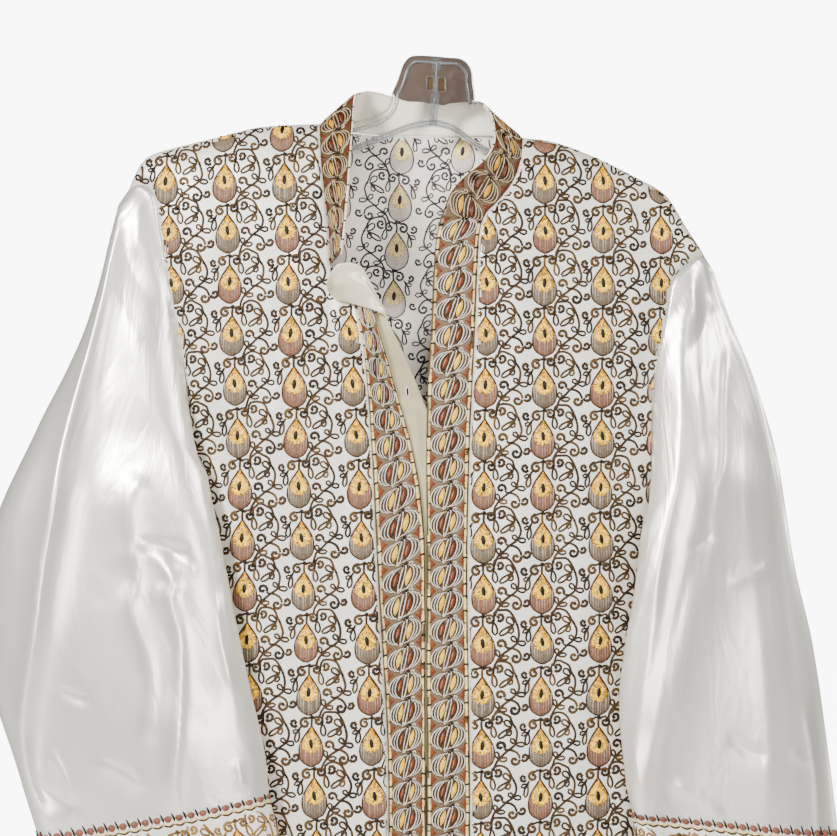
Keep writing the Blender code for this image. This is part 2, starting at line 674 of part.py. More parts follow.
def build_hanger():
    low, high = HANGER_ARM[0].x, HANGER_ARM[-1].x
    places = [mix(low, high, i / 34) for i in range(35)]
    path = [Vector((x, 0, read(HANGER_ARM, "x", "z", x) - ARM_DEPTH)) for x in places]
    sections = []
    for i, middle in enumerate(path):
        along = path[min(i + 1, 34)] - path[max(i - 1, 0)]
        sections.append(rounded_section(middle, along, ARM_HALF_WIDTH, ARM_DEPTH))
    arms = new_object("hanger", swept_bar("hanger", sections), (0.75, 0.76, 0.78), 0.1)
    stem_rings = []
    for row in STEM:
        ring = []
        for i in range(8):
            angle = 2 * pi * (i + 0.5) / 8
            ring.append((row.half_width * cos(angle) - 0.3, row.half_width * sin(angle) * 0.92, row.z))
        stem_rings.append(ring)
    for name, mesh in (("stem", swept_bar("stem", stem_rings)), ("plate", plate_blank())):
        tool = bpy.data.objects.new(name + "_joined", mesh)
        CUTTERS.objects.link(tool)
        tool.hide_render = True
        tool.display_type = "WIRE"
        join = arms.modifiers.new(name, "BOOLEAN")
        join.operation = "UNION"
        join.solver = "EXACT"
        join.object = tool
    return arms


remove_scene_objects()
bpy.context.scene.collection.children.link(COLLECTION)
CUTTERS = bpy.data.collections.new("cutters")
bpy.context.scene.collection.children.link(CUTTERS)
build_back()
build_front("front_left", FRONT_LEFT, True)
build_front("front_right", FRONT_RIGHT, False)
build_band("band_left", FRONT_LEFT, LEFT_BAND_EDGE, True)
build_band("band_right", FRONT_RIGHT, RIGHT_BAND_EDGE, False)
build_collar()
build_underlap()
build_flap()
build_sleeves()
build_hanger()
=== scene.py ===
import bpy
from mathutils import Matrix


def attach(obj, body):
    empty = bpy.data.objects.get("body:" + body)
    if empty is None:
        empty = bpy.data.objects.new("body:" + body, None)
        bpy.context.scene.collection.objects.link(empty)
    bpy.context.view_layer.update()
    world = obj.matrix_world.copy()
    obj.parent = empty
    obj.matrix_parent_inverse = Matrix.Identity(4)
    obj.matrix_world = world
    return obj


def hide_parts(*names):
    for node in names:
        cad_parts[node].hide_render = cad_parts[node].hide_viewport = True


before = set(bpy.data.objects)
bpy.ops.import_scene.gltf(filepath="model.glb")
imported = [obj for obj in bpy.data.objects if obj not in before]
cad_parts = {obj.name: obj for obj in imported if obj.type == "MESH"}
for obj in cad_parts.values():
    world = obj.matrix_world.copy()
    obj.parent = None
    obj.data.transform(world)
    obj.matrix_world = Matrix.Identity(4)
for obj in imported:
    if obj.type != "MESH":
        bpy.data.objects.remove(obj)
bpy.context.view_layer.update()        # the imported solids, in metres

from math import pi

import bmesh
import bpy
import numpy as np
from mathutils import Vector

mm = 0.001
draws = np.random.default_rng(11)    # every random choice comes from here, in this order

# colours, as sRGB hex
colours = {
    "satin": "f6f4ea", "satinShade": "e6e2d4", "ground": "f0ebdf", "groundFleck": "dad3c3",
    "cream": "f4ebd0", "creamShade": "e3d7b2",
    "reverse": "f3ecdd", "reverseFleck": "d4d0c8",
    # lining: cream lightened almost to white as painted light, for the dim inside of the collar
    # underlap: cream darkened as painted shade, where it faces down and away from the light
    "liningMainPaintedLight": "fffbea", "liningShadePaintedLight": "f8efd6", "underlapMainPaintedShade": "c0b48f", "underlapFleckPaintedShade": "ab9f78",
    # collar ground: darker than the band ground as painted shade, as the collar lies in shade
    "collarGroundPaintedShade": "4a3612",
    "darkThread": "120a02", "brownThread": "442a08", "tanThread": "93702a",
    "gold": "cc860f", "paleGold": "f1bf3a", "rose": "8a5f48", "taupe": "766550", "rust": "6c300a",
    "greyThread": "6b5540", "inkThread": "170d07", "piping": "f0d894", "bandGround": "5c482c",
    "creamThread": "fff9ec",
    "innerThread": "453f49", "innerGold": "ffe39c", "innerFringe": "efe0d6", "roseKnot": "7a4838",
    # web and pane colours: painted shade, the dark seen through the clear plastic
    "clearEdge": "c3c6c8", "clearWebPaintedShade": "54473f", "clearPanePaintedShade": "4f3c1e",
    "goldThread": "8f6a2e", "goldShade": "5a3d18", "goldLight": "c9a259",
}


def toLinear(hexCode):
    channels = np.array([int(hexCode[i:i + 2], 16) for i in (0, 2, 4)]) / 255
    low = channels / 12.92
    high = ((channels + 0.055) / 1.055) ** 2.4
    return np.where(channels <= 0.04045, low, high)


linear = {name: toLinear(code) for name, code in colours.items()}


def rgba(name):
    return (*linear[name], 1.0)


def table(columns, *rows):
    return {name: np.array(values, float) for name, values in zip(columns.split(), zip(*rows))}


def read(rows, key, column, at):
    # smooth curve through the rows that keeps between them
    keys, values = rows[key], rows[column]
    if keys[0] > keys[-1]:
        keys, values = keys[::-1], values[::-1]
    step = np.diff(values) / np.diff(keys)
    slope = np.empty(len(keys))
    slope[0], slope[-1] = step[0], step[-1]
    product, total = step[:-1] * step[1:], step[:-1] + step[1:]
    slope[1:-1] = np.where(product > 0, 2 * product / np.where(product > 0, total, 1), 0)
    at = np.clip(np.asarray(at, float), keys[0], keys[-1])
    i = np.clip(np.searchsorted(keys, at, side="right") - 1, 0, len(keys) - 2)
    span = keys[i + 1] - keys[i]
    t = (at - keys[i]) / span
    rise = t * t * (3 - 2 * t)
    tangents = span * (slope[i] * t * (1 - t) ** 2 + slope[i + 1] * t * t * (t - 1))
    return values[i] + (values[i + 1] - values[i]) * rise + tangents


def mix(a, b, share):
    return a + (b - a) * share


def smoothStep(value):
    t = np.clip(value, 0, 1)
    return t * t * (3 - 2 * t)


def bell(value):
    return np.exp(-value * value)


def unit(vectors):
    return vectors / np.maximum(np.linalg.norm(vectors, axis=-1, keepdims=True), 1e-9)


body = {"frontDepth": 43.0, "backDepth": 48.0, "shoulderRounding": 64.0, "neckRise": 200.0,
        "middleX": -18.0,
        "hemZ": -1045.0, "slitTopZ": -790.0, "slitOpening": 5.0, "seamHalf": 0.55, "wall": 1.5,
        "seamGap": 0.3}

shoulderLine = table(
    "x z",
    (-330, -175), (-290, -122), (-281, -103), (-272, -83), (-262, -73), (-243, -67), (-203, -57),
    (-154, -46), (-106, -44), (0, -48), (79, -56.5), (105, -60), (140, -72), (182, -92.5), (210, -109),
    (230, -140), (246, -165), (262, -200), (300, -270))
bodySides = table(
    "z left right",
    (-40, -335, 305), (-103, -322, 300), (-165, -302, 285), (-250, -272, 256), (-300, -257, 238),
    (-352, -238, 221), (-395, -241, 209), (-700, -268, 239), (-1045, -292, 268))
frontLeftRows = table(
    "row outerX outerZ innerX innerZ",
    (0, -281, -103, -106, -44), (1, -273, -101, -106, -48.5), (2, -265, -102, -105.8, -54),
    (3, -257.5, -109, -105.2, -66), (4, -254, -124, -104, -84), (5, -251, -146, -101.5, -106),
    (6, -247, -171, -98.5, -131), (7, -242, -198, -96, -157), (8, -236.5, -226, -95, -186),
    (9, -231, -256, -74, -212), (10, -227, -288, -65.5, -250), (11, -228, -322, -61.5, -290),
    (12, -238, -352, -58.5, -335), (14, -242, -440, -53, -450), (18, -264, -650, -43, -655),
    (24, -292, -1045, -43, -1045))
frontRightRows = table(
    "row outerX outerZ innerX innerZ",
    (0, 246, -165, 79, -56.5), (1, 239, -167.5, 79, -60), (2, 232, -172, 78.5, -66),
    (3, 223, -180, 77, -78), (4, 216, -188.5, 73, -92), (5, 212.5, -203, 66, -105),
    (6, 209.5, -222, 55, -118.5), (7, 205.5, -243, 44.5, -130), (8, 201, -268, 39.5, -147),
    (9, 198, -296, 37, -190), (10, 197, -326, 35, -240), (11, 199, -361, 32.5, -290),
    (12, 209, -395, 30, -345), (14, 215, -470, 28, -450), (18, 235, -665, 30.5, -655),
    (24, 268, -1045, 31, -1045))
backRows = table(
    "row leftX leftZ rightX rightZ",
    (0, -281, -103, 246, -165), (1, -276, -102, 241, -167), (2, -271, -104, 235, -171),
    (3, -266, -112, 229, -178), (4, -263, -126, 223, -188), (5, -260, -148, 219, -203),
    (6, -256, -173, 216, -222), (7, -251, -200, 212, -243), (8, -246, -228, 208, -268),
    (9, -241, -258, 204.5, -296), (10, -237, -290, 202, -327), (11, -235, -323, 203, -362),
    (12, -238, -352, 209, -395), (14, -242, -440, 215, -470), (18, -264, -650, 235, -665),
    (24, -292, -1045, 268, -1045))
backNeck = table("x z", (-106, -44), (-90, -47), (-60, -49.5), (0, -50.5), (40, -51), (65, -53.5),
                 (79, -56.5))
leftBandEdge = table(
    "row x z",
    (8.9, -57, -214), (10, -45, -257), (11, -34, -296), (12, -23, -335), (13, -14.5, -378),
    (14, -9.8, -440), (18, -9.6, -655), (24, -8.6, -1045))
rightBandEdge = table(
    "row x z",
    (7.2, 4.2, -131), (7.5, 2.5, -139), (8, 0, -150), (9, -3, -190), (10, -5, -240), (11, -8, -290),
    (12, -9, -345), (14, -8.6, -450), (18, -8.4, -655), (24, -7.4, -1045))
frontFolds = table(
    "xTop xHem zTop halfWidth depth",
    (-205, -236, -560, 28, 14), (-150, -168, -520, 26, -10), (-96, -104, -600, 24, 8),
    (72, 80, -560, 26, 9), (128, 142, -500, 28, -12), (186, 208, -600, 28, 14))
backFolds = table(
    "xTop xHem zTop halfWidth depth",
    (-196, -232, -420, 30, 15), (-138, -160, -360, 28, -14), (-70, -84, -460, 32, 11),
    (4, 2, -330, 28, -14), (66, 78, -480, 30, 13), (122, 140, -400, 28, -12), (176, 206, -460, 30, 15))
collarTop = table(
    "station x z lean",
    (0, -87, -168, -0.95), (1, -84, -154, -0.9), (2, -81.5, -127, -0.9), (3, -79.3, -99, -0.8),
    (4, -78, -74, -0.7), (5, -76.5, -50, -0.5), (6, -76, -36, -0.3), (7, -75.5, -25, 0), (8, -74, -16, 0),
    (10, -60, -10, -0.2), (13, -22, -17.5, -0.3), (15, 12, -19.5, -0.3), (17, 40, -20.5, -0.2),
    (18, 50.5, -33, 0), (20, 53.5, -50, -0.2), (21, 53.5, -61, -0.6), (22, 49, -74, -0.6),
    (23, 39, -84.5, -0.6), (24, 27, -94, -0.7), (25, 12.5, -111, -0.5), (26, 4, -134, -0.4))


def sideShare(x, z):
    left, right = read(bodySides, "z", "left", z), read(bodySides, "z", "right", z)
    across = np.abs((x - (left + right) / 2) / ((right - left) / 2))
    return np.maximum(0, 1 - np.minimum(1, across) ** 3)


def foldDepth(folds, x, z):
    total = 0
    for xTop, xHem, zTop, halfWidth, depth in zip(*(folds[name] for name in folds)):
        down = (zTop - z) / (zTop - body["hemZ"])
        middle = mix(xTop, xHem, down)
        total = total + np.where(down > 0, depth * smoothStep(down) * bell((x - middle) / halfWidth), 0)
    return total


def depthBelow(drop, depth):
    return depth * (1 - np.exp(-np.sqrt(np.maximum(0, drop) / body["shoulderRounding"])))


def seamClearance(x, z, drop):
    nearTip = smoothStep((np.abs(x - body["middleX"]) - 150) / 70)
    closed = mix(body["seamHalf"], body["wall"] + body["seamGap"],
                 np.maximum(nearTip, smoothStep(drop / 10)))
    return closed + body["slitOpening"] * smoothStep((body["slitTopZ"] - z) / 120)


# small drawing-up of the cloth between rows of stitching, and a few soft pulls, x z lengthX lengthZ height
pulls = table(
    "x z lean lengthX lengthZ height",
    (-205, -150, 0.3, 16, 60, 3.2), (-176, -215, 0.35, 11, 70, -3.0), (-214, -300, 0.1, 9, 90, 3.4),
    (-110, -205, 0.2, 16, 70, 2.4), (-196, -420, 0.1, 12, 110, -3.0), (-130, -480, 0.1, 20, 120, -2.4),
    (-150, -330, -0.25, 10, 80, 1.8), (-84, -560, 0.05, 14, 130, 2.4), (-222, -560, 0.0, 10, 120, 3.0),
    (70, -240, -0.1, 16, 90, 2.4), (120, -160, -0.5, 20, 50, -2.6), (170, -330, -0.1, 12, 110, 3.0),
    (196, -250, -0.2, 9, 70, -3.0), (110, -450, -0.05, 18, 130, -2.4), (198, -450, 0.1, 9, 110, 3.2),
    (62, -600, 0.0, 12, 140, 2.2), (150, -640, 0.0, 16, 140, -2.4), (-180, -690, 0.1, 16, 120, 2.6),
    (205, -640, 0.1, 10, 110, -2.6), (30, -420, 0.0, 7, 200, -1.6), (-46, -620, 0.0, 7, 200, -1.6))


def pucker(x, z):
    total = 0.35 * np.sin(x / 7.1 + 0.9 * np.sin(z / 19)) * np.sin(z / 9.7 + 1.3 * np.sin(x / 23))
    for px, pz, lean, lengthX, lengthZ, height in zip(*(pulls[name] for name in pulls)):
        total = total + height * bell((x - px + lean * (z - pz)) / lengthX) * bell((z - pz) / lengthZ)
    return total


def frontY(x, z, leftSide=False):
    drop = read(shoulderLine, "x", "z", x) - z
    depth = depthBelow(drop, body["frontDepth"]) + foldDepth(frontFolds, x, z)
    depth = depth + pucker(x, z) * smoothStep(drop / 30)
    depth = depth * sideShare(x, z)
    if leftSide:
        # the open edge leans forward
        depth = depth + 24 * smoothStep((x + 98) / 46) * bell((z + 216) / 74)
    return -depth - seamClearance(x, z, drop)


def backY(x, z):
    across = np.clip((x - backNeck["x"][0]) / (backNeck["x"][-1] - backNeck["x"][0]), 0, 1)
    drop = read(shoulderLine, "x", "z", x) + body["neckRise"] * np.sin(pi * across) ** 2 - z
    depth = depthBelow(drop, body["backDepth"]) + foldDepth(backFolds, x, z)
    depth = depth + pucker(-x, z) * smoothStep(drop / 30)
    return depth * sideShare(x, z) + seamClearance(x, z, drop)


def between(rows, first, last, row, share):
    # from one column of a table to another
    key = next(iter(rows))
    return mix(read(rows, key, first, row), read(rows, key, last, row), share)


def frontPoint(rows, row, share, leftSide):
    row, share = np.broadcast_arrays(np.asarray(row, float), np.asarray(share, float))
    x, z = between(rows, "outerX", "innerX", row, share), between(rows, "outerZ", "innerZ", row, share)
    topX = mix(rows["outerX"][0], rows["innerX"][0], share)
    bow = read(shoulderLine, "x", "z", topX) - mix(rows["outerZ"][0], rows["innerZ"][0], share)
    z = z + bow * (1 - smoothStep(row / 12))
    return np.stack([x, frontY(x, z, leftSide), z], -1)


def backPoint(row, share):
    row, share = np.broadcast_arrays(np.asarray(row, float), np.asarray(share, float))
    x = between(backRows, "leftX", "rightX", row, share)
    z = between(backRows, "leftZ", "rightZ", row, share)
    topX = mix(backRows["leftX"][0], backRows["rightX"][0], share)
    inNeck = (topX > backNeck["x"][0]) & (topX < backNeck["x"][-1])
    top = np.where(inNeck, read(backNeck, "x", "z", topX), read(shoulderLine, "x", "z", topX))
    z = z + (top - mix(backRows["leftZ"][0], backRows["rightZ"][0], share)) * (1 - smoothStep(row / 12))
    return np.stack([x, backY(x, z), z], -1)


def bandPoint(rows, edge, row, share, leftSide):
    row, share = np.broadcast_arrays(np.asarray(row, float), np.asarray(share, float))
    gap = 0.3 * (1 if leftSide else -1)
    x = mix(read(rows, "row", "innerX", row) + gap, read(edge, "row", "x", row), share)
    z = mix(read(rows, "row", "innerZ", row), read(edge, "row", "z", row), share)
    return np.stack([x, frontY(x, z, leftSide), z], -1)


def addNode(tree, kind, settings=None, sockets=None):
    # sockets: a number or colour stays on the socket; an output, or a node's first output, is linked
    node = tree.nodes.new(kind)
    for name, value in (settings or {}).items():
        setattr(node, name, value)
    for name, value in (sockets or {}).items():
        if isinstance(value, bpy.types.Node):
            value = value.outputs[0]
        if isinstance(value, bpy.types.NodeSocket):
            tree.links.new(value, node.inputs[name])
        else:
            node.inputs[name].default_value = value
    return node


def newMaterial(name, constants):
    material = bpy.data.materials.new(name)
    material.use_nodes = True
    tree = material.node_tree
    shader = tree.nodes["Principled BSDF"]
    for socket, value in constants.items():
        shader.inputs[socket].default_value = value
    return material, tree, shader


# Woven polyester satin: long floats down the sleeve give a broad soft gloss, and the gloss breaks up
# in faint vertical streaks where warp threads differ.
def makeWovenSatin(name, main, shade, roughness, sheen=0.55):
    material, tree, shader = newMaterial(name, {
        "Roughness": roughness, "Specular IOR Level": 0.6, "Metallic": sheen, "Anisotropic": 0.3})
    place = addNode(tree, "ShaderNodeUVMap", {"uv_map": "cut"})
    streaks = addNode(tree, "ShaderNodeMapping", {}, {"Vector": place, "Scale": (900, 16, 1)})
    warp = addNode(tree, "ShaderNodeTexNoise", {}, {"Vector": streaks, "Scale": 1.0,
        "Detail": 3.0})
    cloudy = addNode(tree, "ShaderNodeTexNoise", {}, {"Vector": place, "Scale": 22.0,
        "Detail": 2.0})
    blend = addNode(tree, "ShaderNodeMath", {"operation": "MULTIPLY"},
        {0: warp, 1: cloudy})
    colour = addNode(tree, "ShaderNodeMix", {"data_type": "RGBA"},
        {"Factor": blend, 6: rgba(main), 7: rgba(shade)})
    # real floats are 0.1 mm apart, drawn about ten times coarser so that they show
    weave = addNode(tree, "ShaderNodeTexWave", {"bands_direction": "X"},
        {"Vector": place, "Scale": 330.0, "Distortion": 1.5, "Detail": 1.0})
    bump = addNode(tree, "ShaderNodeBump", {}, {"Strength": 0.05, "Distance": 0.0003,
        "Height": weave.outputs["Fac"]})
    uneven = addNode(tree, "ShaderNodeBump", {}, {"Strength": 0.3, "Distance": 0.0008,
        "Height": cloudy, "Normal": bump})
    # small crumples that run mostly along the cloth
    stretched = addNode(tree, "ShaderNodeMapping", {}, {"Vector": place,
        "Scale": (42, 15, 1)})
    crumple = addNode(tree, "ShaderNodeTexNoise", {}, {"Vector": stretched, "Scale": 1.0,
        "Detail": 2.5, "Roughness": 0.6, "Distortion": 0.8})
    crumpled = addNode(tree, "ShaderNodeBump", {}, {"Strength": 0.5, "Distance": 0.0015,
        "Height": crumple, "Normal": uneven})
    tree.links.new(colour.outputs[2], shader.inputs["Base Color"])
    tree.links.new(crumpled.outputs["Normal"], shader.inputs["Normal"])
    return material


# Plain woven ground under the stitching: a cool white with a fine grain and a low gloss.
def makeGroundCloth(name, main, fleck):
    material, tree, shader = newMaterial(name, {
        "Roughness": 0.42, "Specular IOR Level": 0.5, "Metallic": 0.2})
    place = addNode(tree, "ShaderNodeTexCoord")
    grain = addNode(tree, "ShaderNodeTexNoise", {}, {"Vector": place.outputs["Object"], "Scale": 700.0,
        "Detail": 2.0})
    patches = addNode(tree, "ShaderNodeTexNoise", {}, {"Vector": place.outputs["Object"], "Scale": 45.0})
    share = addNode(tree, "ShaderNodeMath", {"operation": "MULTIPLY"},
        {0: grain, 1: patches})
    colour = addNode(tree, "ShaderNodeMix", {"data_type": "RGBA"},
        {"Factor": share, 6: rgba(main), 7: rgba(fleck)})
    bump = addNode(tree, "ShaderNodeBump", {}, {"Strength": 0.3, "Distance": 0.0004,
        "Height": grain})
    tree.links.new(colour.outputs[2], shader.inputs["Base Color"])
    tree.links.new(bump.outputs["Normal"], shader.inputs["Normal"])
    return material


# Machine-embroidered rayon thread: each strand has its own colour and a chain of small glossy links.
def makeChainStitch(name, roughness, linkMm, grainMm=1.7, contrast=0.85):
    material, tree, shader = newMaterial(name, {
        "Roughness": roughness, "Specular IOR Level": 0.3})
    colour = addNode(tree, "ShaderNodeAttribute", {"attribute_name": "threadColour"})
    run = addNode(tree, "ShaderNodeUVMap", {"uv_map": "run"})
    split = addNode(tree, "ShaderNodeSeparateXYZ", {}, {"Vector": run.outputs["UV"]})
    turns = addNode(tree, "ShaderNodeMath", {"operation": "MULTIPLY"},
        {0: split.outputs["X"], 1: 2 * pi / (linkMm * mm)})
    links = addNode(tree, "ShaderNodeMath", {"operation": "SINE"}, {0: turns})
    place = addNode(tree, "ShaderNodeTexCoord")
    # single stitches catch the light one by one: the colour is lightened and darkened link by link and
    # grain by grain, partly the thread's own tone and partly painted highlight and shade; grains drawn
    # about twice the real 0.8 mm
    grains = addNode(tree, "ShaderNodeTexVoronoi", {"feature": "F1"}, {"Vector": place.outputs["Object"],
        "Scale": 1 / (grainMm * mm)})
    tone = addNode(tree, "ShaderNodeSeparateColor", {}, {"Color": grains.outputs["Color"]})
    both = addNode(tree, "ShaderNodeMath", {"operation": "MULTIPLY_ADD"},
        {0: links, 1: 0.2, 2: tone.outputs["Red"]})
    centred = addNode(tree, "ShaderNodeMath", {"operation": "SUBTRACT"}, {0: both, 1: 0.5})
    swing = addNode(tree, "ShaderNodeMath", {"operation": "MULTIPLY"},
        {0: centred, 1: colour.outputs["Alpha"]})
    depth = addNode(tree, "ShaderNodeMapRange", {}, {"Value": swing, "From Min": -0.6,
        "From Max": 0.6, "To Min": 1 - contrast, "To Max": 1 + contrast})
    shaded = addNode(tree, "ShaderNodeVectorMath", {"operation": "SCALE"},
        {0: colour.outputs["Color"], "Scale": depth})
    bump = addNode(tree, "ShaderNodeBump", {}, {"Strength": 0.5, "Distance": 0.0004,
        "Height": both})
    tree.links.new(shaded.outputs["Vector"], shader.inputs["Base Color"])
    tree.links.new(bump.outputs["Normal"], shader.inputs["Normal"])
    return material


# Injection-moulded clear polystyrene: see-through, with hard bright edges. The web's grey-brown and the
# panes' dark brown are painted shade, standing in for the dark seen through the clear plastic.
def makeClearPolystyrene(name, tint, clearness):
    material, tree, shader = newMaterial(name, {
        "Base Color": rgba(tint), "Transmission Weight": clearness, "IOR": 1.5, "Specular IOR Level": 0.6})
    place = addNode(tree, "ShaderNodeTexCoord")
    scuffs = addNode(tree, "ShaderNodeTexNoise", {}, {"Vector": place.outputs["Object"], "Scale": 120.0,
        "Detail": 3.0})
    rough = addNode(tree, "ShaderNodeMapRange", {}, {"Value": scuffs, "From Min": 0.4,
        "From Max": 0.7, "To Min": 0.08, "To Max": 0.22})
    tree.links.new(rough.outputs["Result"], shader.inputs["Roughness"])
    return material


wovenSatin = makeWovenSatin("white_satin_woven", "satin", "satinShade", 0.32, sheen=0.62)
creamSatin = makeWovenSatin("cream_satin_woven", "cream", "creamShade", 0.4)
# the lining: cream satin lightened almost to white, painted light for the dim inside of the collar
liningSatinPaintedLight = makeWovenSatin("cream_satin_lining", "liningMainPaintedLight", "liningShadePaintedLight", 0.5, sheen=0.0)
# the underlap is the matte wrong side of cream satin; its colour is darkened as painted shade, where it
# faces down and away from the light
underlapSatinPaintedShade = makeWovenSatin("cream_satin_wrong_side", "underlapMainPaintedShade", "underlapFleckPaintedShade", 0.5, sheen=0.2)
groundCloth = makeGroundCloth("white_ground_cloth_woven", "ground", "groundFleck")
reverseCloth = makeGroundCloth("ground_cloth_wrong_side", "reverse", "reverseFleck")
bandCloth = makeGroundCloth("band_cloth_woven", "bandGround", "greyThread")
# the collar's ground cloth: a darker copy of the band's, painted shade where the collar lies in shade
collarClothPaintedShade = makeGroundCloth("collar_cloth_woven", "collarGroundPaintedShade", "greyThread")
chainThread = makeChainStitch("rayon_chain_stitch", 0.5, 2.2)
bandThread = makeChainStitch("rayon_satin_stitch_border", 0.45, 1.6)
innerThreadWork = makeChainStitch("bobbin_thread_wrong_side", 0.7, 2.6, grainMm=1.2, contrast=0.45)
cordCloth = makeChainStitch("cotton_piping_wrapped", 0.55, 1.2)
clearPolystyrene = makeClearPolystyrene("clear_polystyrene_moulded", "clearEdge", 0.86)
webPolystyrenePaintedShade = makeClearPolystyrene("tinted_polystyrene_web", "clearWebPaintedShade", 0.3)
panePolystyrenePaintedShade = makeClearPolystyrene("tinted_polystyrene_pane", "clearPanePaintedShade", 0.3)
print("materials made")


def newPiece(name, mesh, material):
    piece = bpy.data.objects.new(name, mesh)
    bpy.context.scene.collection.objects.link(piece)
    mesh.materials.clear()
    mesh.materials.append(material)
    return piece


def lengthsAlong(points):
    # running length in millimetres down the first axis, averaged over the second
    steps = np.linalg.norm(np.diff(points, axis=0), axis=-1)
    while steps.ndim > 1:
        steps = steps.mean(-1)
    return np.concatenate([[0], np.cumsum(steps)])


def gridMesh(name, points, closed=False, outward=None, inside=None):
    # quads over rows of points with their cut size as a UV map, in metres
    rows, columns = points.shape[:2]
    index = np.arange(rows * columns).reshape(rows, columns)
    right = np.roll(index, -1, 1) if closed else index[:, 1:]
    here = index if closed else index[:, :-1]
    faces = np.stack([here[:-1], here[1:], right[1:], right[:-1]], -1).reshape(-1, 4)
    mesh = bpy.data.meshes.new(name)
    mesh.from_pydata((points.reshape(-1, 3) * mm).tolist(), [], faces.tolist())
    down = lengthsAlong(points)
    across = lengthsAlong(points.swapaxes(0, 1))
    step = across[-1] / (columns - 1)
    uv = np.stack(np.broadcast_arrays(across[None, :], down[:, None]), -1).reshape(-1, 2)
    uv = uv[faces.ravel()] * mm
    if closed:
        uv = uv.reshape(-1, 4, 2)
        wraps = faces[:, 3] % columns == 0
        uv[wraps, 2:, 0] = (across[-1] + step) * mm
        uv = uv.reshape(-1, 2)
    layer = mesh.uv_layers.new(name="cut")
    layer.data.foreach_set("uv", uv.astype(np.float32).ravel())
    centres = np.array([face.center for face in mesh.polygons])
    normals = np.array([face.normal for face in mesh.polygons])
    sizes = np.array([face.area for face in mesh.polygons])
    if outward is not None:
        facing = ((normals @ np.array(outward, float)) * sizes).sum()
    else:
        away = centres - (centres.mean(0) if inside is None else np.array(inside) * mm)
        facing = ((normals * away).sum(1) * sizes).sum()
    if facing < 0:
        mesh.flip_normals()
    mesh.shade_smooth()
    return mesh


def evaluatedMesh(item):
    bpy.context.view_layer.update()
    return bpy.data.meshes.new_from_object(item.evaluated_get(bpy.context.evaluated_depsgraph_get()))


def editMesh(mesh, edit):
    # the edit works on a bmesh of the mesh, whose faces then all face outward
    bm = bmesh.new()
    bm.from_mesh(mesh)
    edit(bm)
    bmesh.ops.recalc_face_normals(bm, faces=bm.faces)
    bm.to_mesh(mesh)
    bm.free()


def joined(mesh, other):
    bm = bmesh.new()
    bm.from_mesh(mesh)
    bm.from_mesh(other)
    bm.to_mesh(mesh)
    bm.free()
    return mesh


def cloth(name, points, wall, material, closed=False, outward=None, inside=None, reverse=None):
    # thin shell inward of a grid of points
    piece = newPiece(name, gridMesh(name, points, closed, outward, inside), material)
    shell = piece.modifiers.new("wall", "SOLIDIFY")
    shell.thickness = wall * mm
    shell.offset = -1
    shell.use_even_offset = False
    if reverse:
        # the wrong side of the cloth has its own material
        piece.data.materials.append(reverse)
        shell.material_offset = 1
        shell.material_offset_rim = 0
    # the evaluated mesh becomes the piece's own, and its modifiers go
    mesh = evaluatedMesh(piece)
    mesh.name = name
    piece.modifiers.clear()
    piece.data = mesh
    return piece


def newStitching():
    return {"points": [], "faces": [], "colours": [], "grain": [], "run": [], "count": 0}


def addPart(work, points, faces, colour, run, grain=0.35):
    points = np.asarray(points, float)
    colour = np.broadcast_to(np.asarray(colour, float), (len(points), 3))
    work["points"].append(points)
    work["colours"].append(colour)
    work["run"].append(np.asarray(run, float))
    work["grain"].append(np.full(len(points), grain))
    work["faces"] += [[i + work["count"] for i in face] for face in faces]
    work["count"] += len(points)


def resample(path, step, closed=False):
    path = np.asarray(path, float)
    if closed:
        path = np.vstack([path, path[:1]])
    lengths = np.concatenate([[0], np.cumsum(np.linalg.norm(np.diff(path, axis=0), axis=1))])
    count = max(4 if closed else 2, int(round(lengths[-1] / step)) + 1)
    at = np.linspace(0, lengths[-1], count)
    out = np.stack([np.interp(at, lengths, path[:, k]) for k in range(path.shape[1])], -1)
    return (out[:-1], at[:-1], lengths[-1]) if closed else (out, at, lengths[-1])


def smoothPath(knots, per=6):
    # Catmull-Rom curve through the knots
    knots = np.asarray(knots, float)
    ends = np.vstack([2 * knots[0] - knots[1], knots, 2 * knots[-1] - knots[-2]])
    pieces = []
    for i in range(1, len(ends) - 2):
        a, b, c, d = ends[i - 1:i + 3]
        t = np.linspace(0, 1, per, endpoint=False)[:, None]
        pieces.append(0.5 * (2 * b + (c - a) * t + (2 * a - 5 * b + 4 * c - d) * t ** 2
            + (3 * b - a - 3 * c + d) * t ** 3))
    return np.vstack(pieces + [knots[-1:]])


def directions(points, closed):
    ahead = np.roll(points, -1, 0) - np.roll(points, 1, 0)
    if not closed:
        ahead[0], ahead[-1] = points[1] - points[0], points[-1] - points[-2]
    return unit(ahead)


